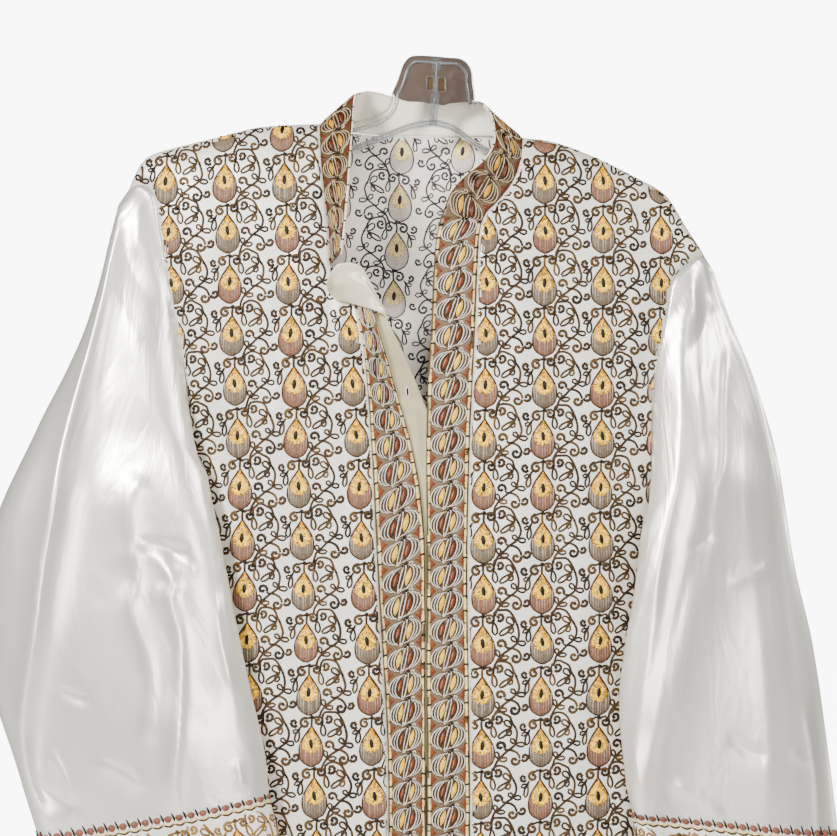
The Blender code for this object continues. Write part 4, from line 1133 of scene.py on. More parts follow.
def borderOn(name, grid, outward, towardsEdge, seed, phase, width=border["width"]):
    # medallions along a strip, scaled a little so that a whole number fits
    place, inside, length = stripPlace(grid, width, outward)
    count = int(round(length / border["pitch"]))
    pitch = length / count
    mesh = field(borderTree, 1, count, 0, -pitch / 2, 10.0, pitch, 0.0, phase, seed)
    if towardsEdge < 0:
        mirrored(mesh)
    return newPiece(name, layOn(mesh, place, inside), bandThread)


def bandGrid(rows, edge, leftSide):
    down = np.linspace(edge["row"][0], edge["row"][-1], border["rows"])
    return bandPoint(rows, edge, down[:, None], np.linspace(0, 1, border["columns"])[None, :], leftSide)


leftBandGrid = bandGrid(frontLeftRows, leftBandEdge, True)
rightBandGrid = bandGrid(frontRightRows, rightBandEdge, False)
leftBand = cloth("band_left_cloth", leftBandGrid, border["wall"], bandCloth, outward=(0, -1, 0))
rightBand = cloth("band_right_cloth", rightBandGrid, border["wall"], bandCloth, outward=(0, -1, 0))


leftBandWork = borderOn("band_left_embroidery", leftBandGrid, (0, -1, 0), 1, 3, 0)
rightBandWork = borderOn("band_right_embroidery", rightBandGrid, (0, -1, 0), -1, 4, 1)
print("front bands made", len(leftBandWork.data.polygons), len(rightBandWork.data.polygons))

# the collar's threads are browner and darker than the bands': their colours are multiplied by a browner
# tone and by painted shade, as the collar lies in shade
collar = {"height": 36.0, "seamHalf": 0.1, "wall": 1.0, "liningInset": 1.95, "liningWall": 0.8,
          "stations": 131, "rows": 12,
          "neckMiddle": (-12, 0, -70), "workWidth": 34.0, "threadToneAndShade": (0.64, 0.53, 0.37),
          "cordRadius": 1.0, "tickPitch": 17.0, "tickHalf": 0.7, "tickRadius": 1.25}


def collarBase(station):
    station = np.asarray(station, float)
    left = frontPoint(frontLeftRows, np.minimum(8 - np.minimum(station, 8), 7.6), 1.0, True)
    width = backRows["rightX"][0] - backRows["leftX"][0]
    neckShares = (backNeck["x"][[0, -1]] - backRows["leftX"][0]) / width
    behind = backPoint(np.zeros_like(station), mix(neckShares[0], neckShares[1],
        np.clip((station - 8) / 10, 0, 1)))
    right = frontPoint(frontRightRows, np.minimum(np.maximum(station - 18, 0), 7.4), 1.0, False)
    return np.where(station[:, None] <= 8, left, np.where(station[:, None] < 18, behind, right))


def collarGrid(inset, stations, shares):
    base = collarBase(stations)
    top = np.stack([read(collarTop, "station", "x", stations), base[:, 1],
        read(collarTop, "station", "z", stations)], -1)
    flat = np.linalg.norm(top - base, axis=1)
    spare = np.sqrt(np.maximum(0, collar["height"] ** 2 - flat ** 2))
    top[:, 1] += spare * read(collarTop, "station", "lean", stations)
    sides = (stations <= 8) | (stations >= 18)
    base[:, 1] = np.where(sides, np.minimum(base[:, 1], -2.4), base[:, 1])
    top[:, 1] = np.where(sides, np.minimum(top[:, 1], -1.0), top[:, 1])
    # the jump where front and back seams meet at the shoulder is eased over a station
    for line in 3 * (base, top):
        line[1:-1, 1] = np.convolve(line[:, 1], (0.25, 0.5, 0.25), "valid")
    up = unit(top - base)
    start = base + up * 2 * collar["seamHalf"]
    middle = np.clip(stations, 1.0, 24.8)
    along = collarBase(middle + 0.5) - collarBase(middle - 0.5)
    outward = unit(np.cross(up, along))
    points = start[None] + (top - start)[None] * np.asarray(shares)[:, None, None]
    return (points - outward[None] * inset).swapaxes(0, 1)


stations = np.linspace(0, 26, collar["stations"])
collarOuter, collarInner = (collarGrid(inset, stations, np.linspace(0, 1, collar["rows"]))
    for inset in (0.0, collar["liningInset"]))
collarPiece = cloth("collar_cloth", collarOuter, collar["wall"], collarClothPaintedShade, inside=collar["neckMiddle"])
liningPiece = cloth("collar_lining_satin", collarInner, collar["liningWall"], liningSatinPaintedLight,
    inside=collar["neckMiddle"])
collarWork = borderOn("collar_embroidery", collarOuter, unit(collarOuter - collar["neckMiddle"]), 1, 6, 0,
    collar["workWidth"])
# the collar's thread colours are multiplied: browner, and darker as painted shade
threads = collarWork.data.attributes["threadColour"].data
tones = np.empty(4 * len(threads), np.float32)
threads.foreach_get("color", tones)
tones = tones.reshape(-1, 4)
tones[:, :3] *= collar["threadToneAndShade"]
threads.foreach_set("color", tones.ravel())
print("collar made", len(collarWork.data.polygons))

facing = {"wall": 0.8, "inset": 2.2, "ridge": 1.5, "hollow": 0.9,
          # shallow creases across the strip, above and below the buttonhole: z, reach, height
          "creases": ((-262, 6, 0.7), (-284, 5, 1.0), (-296, 4, -0.8), (-306, 5, 0.9), (-330, 7, -0.7))}
flapRows = table(
    "index upperX upperY upperZ lowerX lowerZ lift",
    (0, -97.4, -66, -195, -98, -199, 4), (1, -93, -69, -184, -91, -207, 5),
    (2, -86, -71, -177, -82, -210, 6.5), (3, -76, -70, -176, -74, -212.3, 6),
    (4, -66.5, -67, -179.5, -65, -215, 4.5), (5, -59, -63, -192, -56.5, -217.5, 3),
    (6, -51.3, -60, -207, -49.5, -220, 1.8), (7, -43.2, -57.5, -220.5, -43.8, -223.5, 1))
underlapEdge = table(
    "row x z",
    (9.06, -46.5, -220.5), (10, -28.5, -257), (11, -10.5, -300), (12, 5, -338), (13, 13, -380),
    (14, 17, -440), (17.5, 17, -630))


def flapGrid(rows, shares):
    rows, shares = rows[:, None], shares[None, :]
    x = between(flapRows, "upperX", "lowerX", rows, shares)
    z = between(flapRows, "upperZ", "lowerZ", rows, shares)
    lowerX, lowerZ = read(flapRows, "index", "lowerX", rows), read(flapRows, "index", "lowerZ", rows)
    lowerY = frontY(lowerX, lowerZ, True) - read(flapRows, "index", "lift", rows)
    y = mix(read(flapRows, "index", "upperY", rows), lowerY, shares ** 1.4)
    # one soft fold from the top corner to the tip and a shallow hollow above it
    y = y - facing["ridge"] * bell((shares - 0.62 + 0.05 * rows) / 0.16) * smoothStep(rows
        / 2) * smoothStep((7 - rows) / 2)
    y = y + facing["hollow"] * bell((shares - 0.3 + 0.03 * rows) / 0.14) * smoothStep(rows
        / 2) * smoothStep((7 - rows) / 3)
    return np.stack(np.broadcast_arrays(x, y, z), -1)


def underlapGrid(rows, shares):
    start = bandPoint(frontLeftRows, leftBandEdge, rows, 0.9, True)
    open_ = 1 - smoothStep((rows - 9.1) / 2.2)
    start[:, 1] += facing["inset"] * mix(1, 2.8, open_)
    x, z = read(underlapEdge, "row", "x", rows), read(underlapEdge, "row", "z", rows)
    y = mix(frontY(x, z) + facing["inset"] + 0.8, start[:, 1] + 1.0, open_)
    free = np.stack([x, y, z], -1)
    points = mix(start[:, None], free[:, None], shares[None, :, None])
    beyond = smoothStep((points[..., 0] + 17) / 6) * (1 - open_[:, None])
    behind = frontY(points[..., 0], points[..., 2]) + facing["inset"] + 0.7
    points[..., 1] = mix(points[..., 1], np.maximum(points[..., 1], behind), beyond)
    for creaseZ, reach, height in facing["creases"]:
        points[..., 1] -= height * bell((points[..., 2] - creaseZ + 0.3 * (points[..., 0] + 20)) / reach)
    return points


flapPiece = cloth("facing_flap_satin", flapGrid(np.linspace(0, 7, 48), np.linspace(0, 1, 26)),
    facing["wall"], creamSatin, outward=(0, -1, 0))
underlapCloth = underlapGrid(np.linspace(9.06, 17.5, 120), np.linspace(0, 1, 20))
underlapPiece = cloth("underlap_satin", underlapCloth, facing["wall"], underlapSatinPaintedShade, outward=(0, -1, 0))

# worked buttonhole near the top of the underlap
buttonhole = {"down": 76.0, "across": 0.5, "length": 12.0, "width": 3.4, "turn": 0.3, "stripWidth": 30.0}
ring = oval(0, 0, buttonhole["width"] / 2, buttonhole["length"] / 2, 20)
ring[:, 0] += buttonhole["turn"] * ring[:, 1]
ring += [buttonhole["across"], -buttonhole["down"]]
slit = newStitching()
addStrand(slit, ring, 1.3, 0.8, linear["creamThread"] * 0.9, step=0.8, closed=True)
# the dark patch inside the ring is painted shade: it stands for the dark seen through the cut slit
addPatch(slit, mix(ring, ring.mean(0), 0.3), 0.25, linear["darkThread"], rows=1)
slitWork = newPiece("underlap_buttonhole", layOn(stitchingMesh("underlap_buttonhole", slit), *stripPlace(
    underlapCloth, buttonhole["stripWidth"], (0, -1, 0))[:2]), bandThread)

sleeveSizes = {"creaseGain": 1.9, "creaseReach": 1.25, "seamShift": 0.1, "capRow": 4.0, "frontColumns": 96,
               "backColumns": 28, "rows": 124, "lastRow": 14, "cuffHeight": 70.0, "cuffRows": 26,
               "cuffGap": 0.35,
               "cuffFlare": 0.02, "hiddenShift": 18.0, "hiddenGain": 0.8, "wall": 1.0}
sleeveLeftRows = table(
    "row outerX outerY outerZ innerX innerY innerZ halfDepth",
    (1, -291, -1, -118, -241, -9, -354, 13), (2, -300, -2, -155, -232, -19, -352, 15),
    (3, -306, -3, -182, -219, -26, -348, 16), (4, -320, -5, -230, -208, -32, -362, 16),
    (5, -337, -8, -270, -202, -37, -388, 16), (6, -363, -11, -322, -194, -42, -422, 16),
    (8, -405, -16, -430, -180, -47, -492, 15), (10, -408, -19, -520, -168, -50, -548, 15),
    (13, -376, -22, -642, -151.5, -52, -625, 16), (14, -360, -23, -693, -149.5, -53, -651, 16))
sleeveRightRows = table(
    "row outerX outerY outerZ innerX innerY innerZ halfDepth",
    (1, 255, -1, -180, 212, -9, -398, 13), (2, 263, -2, -206, 204, -19, -399, 15),
    (3, 271, -3, -228, 192, -27, -397, 16), (4, 285, -5, -262, 186, -33, -412, 16),
    (5, 299, -8, -304, 182, -38, -438, 16), (6, 310, -11, -345, 178, -43, -468, 16),
    (8, 326, -16, -448, 168, -48, -524, 15), (10, 342, -19, -520, 163.5, -50, -566, 15),
    (13, 358.5, -22, -640, 169.5, -52, -640, 16), (14, 364.5, -23, -691, 175.5, -53, -668, 16))
leftFolds = table(
    "turnTop turnEnd rowTop rowEnd halfWidth height",
    (0.10, 0.09, 4, 14, 0.05, 4.5), (0.29, 0.36, 3, 12, 0.05, -4.0), (0.20, 0.22, 6, 15, 0.06, 3.0),
    (0.42, 0.42, 6, 14, 0.05, 3.0), (0.66, 0.62, 3, 14, 0.06, -4.0), (0.80, 0.84, 5, 15, 0.06, 4.0))
rightFolds = table(
    "turnTop turnEnd rowTop rowEnd halfWidth height",
    (0.20, 0.40, 2, 14, 0.05, 4.5), (0.30, 0.44, 4, 13, 0.05, -4.0), (0.12, 0.16, 7, 15, 0.06, 3.5),
    (0.64, 0.60, 3, 14, 0.06, -4.0), (0.82, 0.86, 5, 15, 0.06, 4.0))

# creases laid on the front: height, rounding of the crest, reach to its left and right, points x z
leftCreases = [
    (5.0, 1.4, 20, 11, [(-290, -145), (-301, -198), (-309, -232), (-315.5, -260), (-323, -290),
                        (-335, -345),
                        (-342, -399), (-351, -450), (-356, -495), (-362, -539), (-369.5, -590),
                        (-364, -634), (-352, -668)]),
    (2.2, 3.0, 16, 22, [(-262, -365), (-274, -388), (-271, -420), (-268, -445)]),
    (2.6, 1.8, 9, 18, [(-271, -440), (-265, -459), (-271, -484), (-258, -520), (-253, -550), (-256, -600)]),
    (3.4, 1.2, 12, 8, [(-246, -440), (-234, -459), (-237, -474), (-228, -507), (-227, -550), (-229, -600),
                       (-232, -632), (-229, -660)]),
    (-1.6, 1.2, 5, 4, [(-268, -424), (-250, -427), (-233, -431), (-220, -433)]),
    (-1.2, 1.4, 5, 6, [(-240, -434), (-225, -440), (-214, -447)]),
    (-0.9, 1.5, 6, 6, [(-335, -556), (-322, -562), (-310, -566)]),
    (1.1, 1.3, 5, 5, [(-196, -475), (-191, -510), (-182, -550)]),
    (0.9, 1.2, 4, 4, [(-189, -470), (-184, -500), (-178, -530)]),
    (1.3, 1.4, 6, 6, [(-345, -610), (-330, -640), (-322, -672)]),
    (-1.2, 1.6, 6, 8, [(-362, -640), (-340, -655), (-318, -662)]),
    (1.0, 1.4, 8, 8, [(-300, -620), (-280, -628), (-262, -640)]),
    (0.9, 1.2, 4, 4, [(-176, -618), (-172, -640)]),
    (1.0, 2.0, 7, 7, [(-268, -100), (-270, -130), (-272, -165)]),
    (0.8, 1.6, 5, 5, [(-258, -105), (-259, -135)]),
]
rightCreases = [
    (2.6, 4.0, 14, 12, [(232, -180), (222, -260), (219, -330), (214, -372), (204, -415), (198, -450),
                        (193, -500),
                        (184, -552), (177, -602), (174, -640), (177, -690)]),
    (-0.8, 2.6, 10, 12, [(246, -372), (237, -423), (220, -474), (209, -524), (202, -575), (192, -625),
                         (189, -676)]),
    (0.6, 1.3, 7, 16, [(252, -380), (244, -438), (232, -489), (222, -550), (214, -600), (204, -650)]),
    (1.8, 1.5, 5, 12, [(266, -252), (261, -300), (259.5, -350), (253, -376)]),
    (-0.9, 3.0, 9, 9, [(244, -210), (242, -290), (246, -350)]),
    (0.9, 2.4, 22, 12, [(276, -330), (282, -420), (289, -474), (294, -550), (297, -600), (296, -676)]),
    (1.6, 1.2, 5, 6, [(332, -575), (342, -638), (344, -690)]),
    (-1.0, 1.3, 4, 4, [(228, -429), (238, -424), (248, -420)]),
    (0.9, 1.4, 5, 5, [(262, -462), (280, -456), (300, -450)]),
    (-1.6, 4.0, 16, 16, [(300, -300), (308, -400), (316, -480), (322, -560)]),
    (1.4, 1.6, 6, 6, [(230, -170), (234, -200), (236, -230)]),
    (1.0, 1.4, 5, 5, [(242, -165), (248, -190), (252, -215)]),
    (0.8, 1.3, 5, 5, [(318, -610), (328, -620), (340, -622)]),
    (1.0, 1.6, 7, 7, [(212, -640), (232, -650), (252, -668)]),
    (-0.9, 1.4, 5, 5, [(262, -600), (280, -612), (296, -616)]),
]


# broad flat facets of the front, between lines that run down the sleeve: where each line lies, how far
# the cloth comes forward or falls back for each millimetre to the right, and how round each line is
leftFacets = {
    "lines": table(
        "z anchor a b c d e",
        (-200, -242, -301, -297, -279, -265, -260), (-260, -231, -315.5, -310, -279, -260, -252),
        (-320, -228, -329, -304.5, -277, -255, -243), (-380, -203, -340, -308, -274, -250, -229),
        (-440, -191, -349.5, -317, -268.5, -238, -220), (-500, -178, -357, -327, -263.5, -231, -216),
        (-560, -166, -366, -346, -259, -228, -214), (-620, -153, -366.5, -360, -262, -227.5, -207),
        (-690, -149, -345, -342, -262, -228, -200)),
    "slopes": (0.16, -0.38, 0.05, 0.14, 0.0, -0.3), "rounding": (2.0, 16.0, 12.0, 10.0, 8.0)}
rightFacets = {
    "lines": table(
        "z anchor a b c d",
        (-200, 208, 212, 230, 250, 255.5), (-263, 197, 215.6, 235.5, 257.3, 269.3),
        (-336, 192, 213.8, 235.5, 255.5, 270.7),
        (-372, 189, 206.5, 233, 250.4, 273), (-409, 185, 199, 224.6, 245.3, 281),
        (-481, 177.5, 186.5, 212, 234.4, 290),
        (-554, 168.4, 177.5, 201, 222, 295.4), (-626, 168.4, 170, 186, 208.3, 293.6),
        (-690, 174, 175, 179.5, 201, 292)),
    "slopes": (0.0, 0.24, -0.42, 0.06, -0.08), "rounding": (16.0, 7.0, 2.5, 12.0)}


def facetRelief(facets, x, z):
    lines, slopes = facets["lines"], facets["slopes"]

    def height(at):
        total = slopes[0] * at
        for name, before, after, rounding in zip("abcde", slopes, slopes[1:], facets["rounding"]):
            past = at - read(lines, "z", name, z)
            total = total + (after - before) * (past + np.hypot(past, rounding)) / 2
        return total
    return height(x) - height(read(lines, "z", "anchor", z))


def creaseRelief(creases, x, z):
    # raised or sunk lines with a narrow crest, which fade out at both ends
    total = np.zeros_like(x)
    for height, crest, reachLeft, reachRight, knots in creases:
        path = smoothPath(knots, 6)
        best = np.full(x.shape, 1e9)
        side, along = np.zeros_like(x), np.zeros_like(x)
        lengths = np.concatenate([[0], np.cumsum(np.linalg.norm(np.diff(path, axis=0), axis=1))])
        for i in range(len(path) - 1):
            a, step = path[i], path[i + 1] - path[i]
            t = ((x - a[0]) * step[0] + (z - a[1]) * step[1]) / (step @ step)
            low, high = (-0.5 if i == 0 else 0), (1.5 if i == len(path) - 2 else 1)
            near = np.clip(t, low, high)
            dx, dz = x - a[0] - step[0] * near, z - a[1] - step[1] * near
            gap = np.hypot(dx, dz)
            closer = gap < best
            best = np.where(closer, gap, best)
            side = np.where(closer, dx * step[1] - dz * step[0], side)
            along = np.where(closer, (lengths[i] + near * np.sqrt(step @ step)) / lengths[-1], along)
        reach = np.where(side > 0, reachLeft, reachRight) * sleeveSizes["creaseReach"]
        fade = smoothStep((along + 0.12) / 0.3) * smoothStep((1.12 - along) / 0.26)
        total += height * fade * np.exp(-(np.hypot(best, crest) - crest) / reach
            * 1.8) * np.exp(-(best / (2.6 * reach)) ** 2)
    return total


def ringThrough(points, turns):
    # closed smooth curve through evenly numbered points
    count = len(points)
    at = np.asarray(turns) * count
    i = np.floor(at).astype(int)
    t = (at - i)[:, None]
    a, b, c, d = (points[(i + k) % count] for k in (-1, 0, 1, 2))
    return 0.5 * (2 * b + (c - a) * t + (2 * a - 5 * b + 4 * c - d) * t ** 2 + (3 * b - a - 3 * c + d)
        * t ** 3)


def armholeRing(rows, outerSide):
    columns = ("leftX", "leftZ") if outerSide < 0 else ("rightX", "rightZ")
    down, up = np.arange(13.0), np.arange(11.0, 0, -1)
    front = frontPoint(rows, down, 0.0, outerSide < 0)
    x, z = read(backRows, "row", columns[0], up), read(backRows, "row", columns[1], up)
    ring = np.vstack([front, np.stack([x, backY(x, z), z], -1)])
    ring[[0, 12], 1] = 0
    along = np.roll(ring, -1, 0) - np.roll(ring, 1, 0)
    into = np.vstack([frontPoint(rows, down, 0.06, outerSide < 0), backPoint(up, 0.03 if outerSide < 0
        else 0.97)]) - ring
    into -= along * ((into * along).sum(1) / (along * along).sum(1))[:, None]
    away = -unit(into)
    away[12] = (outerSide, 0, 0)
    away[0] = (outerSide * 1.3, 0, -1.1)
    return ring + away * sleeveSizes["seamShift"]


def sleeveRing(rows, armhole, folds, row, turns):
    outer = np.array([read(rows, "row", "outer" + axis, row) for axis in "XYZ"])
    inner = np.array([read(rows, "row", "inner" + axis, row) for axis in "XYZ"])
    halfDepth = float(read(rows, "row", "halfDepth", row))
    chord = inner - outer
    forward = np.array([0.0, -1, 0]) - chord * (-chord[1] / (chord @ chord))
    forward /= np.linalg.norm(forward)
    across, swell = (1 - np.cos(2 * pi * turns)) / 2, np.sin(2 * pi * turns)
    bulge = halfDepth * np.abs(swell) ** 0.8 * np.sign(swell)
    crease = np.zeros_like(turns)
    for turnTop, turnEnd, rowTop, rowEnd, halfWidth, height in zip(*(folds[name] for name in folds)):
        if rowTop < row <= rowEnd:
            down = (row - rowTop) / (rowEnd - rowTop)
            fade = smoothStep(min(1, 3 * down)) * (1 if rowEnd >= 14
                else smoothStep(min(1, 5 * (1 - down))))
            crease += height * fade * bell((turns - mix(turnTop, turnEnd, down)) / halfWidth)
    points = outer + chord * across[:, None] + forward * (bulge + crease
            * np.where(swell >= 0, 1, -1))[:, None]
    if row < sleeveSizes["capRow"]:
        below = sleeveRing(rows, armhole, folds, sleeveSizes["capRow"], turns)
        straight = mix(ringThrough(armhole, turns), below, row / sleeveSizes["capRow"])
        share = smoothStep((across - 0.15) / 0.5) * ((turns > 0) & (turns < 0.5))
        points = mix(points, straight, share[:, None])
    return points


def sleeveGrids(rows, frontRows, folds, creases, facets, outerSide):
    front = np.linspace(0, 0.5, sleeveSizes["frontColumns"], endpoint=False)
    behind = np.linspace(0.5, 1, sleeveSizes["backColumns"], endpoint=False)
    turns = np.concatenate([front, behind])
    armhole = armholeRing(frontRows, outerSide)
    levels = np.linspace(0, sleeveSizes["lastRow"], sleeveSizes["rows"])

    def ring(row):
        return sleeveRing(rows, armhole, folds, row, turns)
    grid = np.array([mix(ringThrough(armhole, turns), ring(1.0), row) if row < 1 else ring(row)
        for row in levels])
    seam = ring(sleeveSizes["lastRow"])
    middle = seam.mean(0)
    slope = unit(middle - ring(sleeveSizes["lastRow"] - 1).mean(0))
    cuff = np.array([middle + (seam - middle) * (1 + sleeveSizes["cuffFlare"] * down
        / sleeveSizes["cuffHeight"]) + slope * down for down in np.linspace(sleeveSizes["cuffGap"],
        sleeveSizes["cuffHeight"], sleeveSizes["cuffRows"])])
    # relief pushes the front forward and the back backward, and dies out at the seams
    onFront = (turns < 0.5)[None, :]
    edge = smoothStep(np.minimum(np.abs(np.sin(2 * pi * turns)) / 0.45, 1))[None, :]
    nearSeam = smoothStep(levels / sleeveSizes["lastRow"] / 0.05)[:, None]
    relief = creaseRelief(creases, grid[..., 0], grid[..., 2]) * sleeveSizes["creaseGain"]
    relief += facetRelief(facets, grid[..., 0], grid[..., 2])
    hidden = creaseRelief(creases, 2 * grid[..., 0].mean() - grid[..., 0],
        grid[..., 2] - sleeveSizes["hiddenShift"])
    hidden *= sleeveSizes["hiddenGain"]
    shift = np.where(onFront, -relief, hidden) * edge * nearSeam
    grid[..., 1] += shift
    cuff[..., 1] += shift[-1] * np.linspace(1, 0.5, len(cuff))[:, None]
    return grid, cuff


leftSleeveGrid, leftCuffGrid = sleeveGrids(sleeveLeftRows, frontLeftRows, leftFolds, leftCreases,
    leftFacets, -1)
rightSleeveGrid, rightCuffGrid = sleeveGrids(sleeveRightRows, frontRightRows, rightFolds, rightCreases,
    rightFacets, 1)
leftSleeve = cloth("sleeve_left_satin", leftSleeveGrid, sleeveSizes["wall"], wovenSatin, closed=True)
rightSleeve = cloth("sleeve_right_satin", rightSleeveGrid, sleeveSizes["wall"], wovenSatin, closed=True)
leftCuff = cloth("cuff_left_cloth", leftCuffGrid, sleeveSizes["wall"], groundCloth, closed=True)
rightCuff = cloth("cuff_right_cloth", rightCuffGrid, sleeveSizes["wall"], groundCloth, closed=True)
print("sleeves made", len(leftSleeve.data.polygons), len(rightSleeve.data.polygons))

collarCord = newStitching()
collarTopEdge = collarOuter[2:-2, -1] * 0.5 + collarInner[2:-2, -1] * 0.5
addTube(collarCord, collarTopEdge, collar["cordRadius"], mix(linear["creamThread"], linear["piping"], 0.35),
        sides=6, up=(0.3, 0, 1))
edgeAlong = lengthsAlong(collarTopEdge[:, None])
for at in np.arange(8, edgeAlong[-1] - 4, collar["tickPitch"]):
    ends = [[np.interp(at + k * collar["tickHalf"], edgeAlong, collarTopEdge[:, axis]) for axis in range(3)]
            for k in (-1, 1)]
    addTube(collarCord, ends, collar["tickRadius"], linear["darkThread"], sides=6, up=(0.3, 0, 1))
collarPiping = newPiece("collar_piping", stitchingMesh("collar_piping", collarCord), cordCloth)


def tubePlace(grid, direction):
    # flat x runs round from the outer side of the sleeve, flat z down from the top
    ring = np.concatenate([grid, grid[:, :1]], 1)
    around, down = lengthsAlong(ring.swapaxes(0, 1)), lengthsAlong(grid)
    normals = unit(np.cross(np.roll(grid, -1, 1) - np.roll(grid, 1, 1), np.gradient(grid, axis=0)))
    if (normals * (grid - grid.mean(1, keepdims=True))).sum() < 0:
        normals = -normals
    normals = np.concatenate([normals, normals[:, :1]], 1)

    def place(x, z):
        column = np.interp(np.mod(direction * x, around[-1]), around, np.arange(len(around)))
        row = np.interp(-z, down, np.arange(len(down)))
        return sampled(ring, row, column), unit(sampled(normals, row, column))
    return place, around[-1], down[-1]


cuffSizes = {"repeat": 54.0, "rows": 2, "rowPitch": 46.0, "firstTip": -20.0, "start": -7.0, "top": -7.5,
             "tickPitch": 10.6, "tickWidth": 2.4, "knotHalf": (3.5, 3.2), "braidAt": -4.0}


def cuffStitching(name, sleeve, cuff, direction, seed):
    # the seam's stitches also reach up on to the sleeve, so its last rows come along
    whole = np.concatenate([sleeve[-4:-1], cuff])
    placeWhole, around, height = tubePlace(whole, direction)
    lead = lengthsAlong(whole)[3]
    height = height - lead

    def place(x, z):
        return placeWhole(x, z - lead)
    columns = int(round(around / cuffSizes["repeat"]))
    pitch = around / columns
    flat = field(cuffTree, columns, cuffSizes["rows"], cuffSizes["start"], cuffSizes["firstTip"], pitch,
                 cuffSizes["rowPitch"], 0.0, 0, seed)
    vine = layOn(flat, place, lambda x, z: (z < cuffSizes["top"]) & (z > -height + 0.5))
    # seam over the cuff: ticks and rose knots in turn, and a scalloped braid under them
    seam = newStitching()
    ticks = int(round(around / cuffSizes["tickPitch"]))
    step = around / ticks
    for i in range(ticks):
        x = i * step + draws.uniform(-0.4, 0.4)
        addStrand(seam, [(x + 0.6, -1.5), (x + 0.1, 2.5), (x - 1.0, 6.0)], cuffSizes["tickWidth"], 1.2,
                  linear["darkThread"], step=2.5, ends=(1, 0.4))
        addPatch(seam, oval(x + step / 2, 0.6, *cuffSizes["knotHalf"], 8), 1.6,
                 linear["roseKnot"] * draws.uniform(0.8, 1.15), rows=1)
        for lower, width, rise, shade in ((0, 2.4, 1.1, "piping"), (1.8, 2.0, 0.9, "brownThread")):
            high, low = cuffSizes["braidAt"] + 1.2 - lower, cuffSizes["braidAt"] - 0.9 - lower
            scallop = [(i * step, high), (i * step + step / 2, low), ((i + 1) * step, high)]
            addStrand(seam, smoothPath(scallop, 3), width, rise, linear[shade], step=3)
    braid = layOn(stitchingMesh(name + "_seam", seam), place, lambda x, z: x > -1e9)
    return newPiece(name, joined(vine, braid), chainThread)


leftCuffWork = cuffStitching("cuff_left_embroidery", leftSleeveGrid, leftCuffGrid, 1, 12)
rightCuffWork = cuffStitching("cuff_right_embroidery", rightSleeveGrid, rightCuffGrid, -1, 13)
print("cuffs stitched", len(leftCuffWork.data.polygons), len(rightCuffWork.data.polygons))

hanger = {"webHalf": 1.0, "rimInset": 5.2, "rimRadius": 1.9, "edgeRadius": 1.0, "armGap": 2.1,
          "armRadius": 1.1,
          "ribRadius": 0.9, "frameRadius": 1.0, "armWebHalf": 2.0, "armWebThick": 0.6, "stemHalf": 1.3,
          "paneHalf": 0.3,
          "armDrop": 3.0}
# down the left edge, along under the collar's top and up the right edge
plateTop = np.array([(-39.7, -16), (-36, -8), (-32.7, 1), (-30, 9), (-25.7, 15), (-21, 17.7), (-10, 17.9),
    (2.5, 17), (10, 16.2), (19.5, 15.6), (26, 13), (30.4, 8), (32.7, 2), (33.2, -6), (34.6, -16),
    (35, -22)], float)
plateFoot = np.array([(32.5, -23.5), (13, -25), (6.7, -27), (-6.3, -25), (-12.7, -23.8), (-25.6, -23.4),
    (-31, -22), (-37.5, -19.5)], float)
windows = ((-8.6, -1.8, -13.6, -0.4), (1.4, 8.7, -14.6, -1.0))
armLine = table(
    "x z",
    (-250, -71.1), (-238, -67.6), (-215, -62.6), (-180, -63.5), (-140, -68), (-105, -68), (-74, -63),
    (-48, -53), (-24, -43.5), (-4, -40), (12, -43), (26, -52), (42, -63), (62, -72), (90, -80), (122, -88),
    (155, -94), (180, -97.1), (196, -103.9), (205, -111.2))


def slab(name, outlines, half, material, y=0.0):
    # flat moulding from a filled outline with openings
    curve = bpy.data.curves.new(name, "CURVE")
    curve.dimensions = "2D"
    curve.fill_mode = "BOTH"
    curve.extrude = half * mm
    for outline in outlines:
        spline = curve.splines.new("POLY")
        spline.points.add(len(outline) - 1)
        spline.use_cyclic_u = True
        for point, (x, z) in zip(spline.points, outline):
            point.co = (x * mm, z * mm, 0, 1)
    carrier = bpy.data.objects.new(name, curve)
    bpy.context.scene.collection.objects.link(carrier)
    carrier.rotation_euler = (pi / 2, 0, 0)
    carrier.location = (0, y * mm, 0)
    mesh = evaluatedMesh(carrier)
    mesh.transform(carrier.matrix_world)
    bpy.data.objects.remove(carrier, do_unlink=True)
    editMesh(mesh, lambda bm: bmesh.ops.remove_doubles(bm, verts=bm.verts, dist=1e-6))
    return newPiece(name, mesh, material)


plateEdge = np.vstack([smoothPath(plateTop, 3), plateFoot])
openings = [[(left, low), (right, low), (right, high), (left, high)] for left, right, low, high in windows]
# painted shade: the clear web is tinted grey-brown and dark panes fill its openings, standing in for the
# dark seen through them
hangerWeb = slab("hanger_web", [plateEdge] + openings, hanger["webHalf"], webPolystyrenePaintedShade)
paintedShadePanes = [slab("hanger_pane_%d" % i, [opening], hanger["paneHalf"], panePolystyrenePaintedShade, y=0.4)
         for i, opening in enumerate(openings)]
bars = newStitching()


def flatBar(path, radius, y=0.0, closed=False, sides=8):
    path = np.asarray(path, float)
    addTube(bars, np.column_stack([path[:, 0], np.full(len(path), y), path[:, 1]]), radius,
        linear["clearEdge"], sides=sides, closed=closed)


middle = np.array([-2.0, -14.0])
rimLine = smoothPath(plateTop, 3)
inward = 1 - hanger["rimInset"] / np.linalg.norm(rimLine - middle, axis=1, keepdims=True)
innerRim = middle + (rimLine - middle) * inward
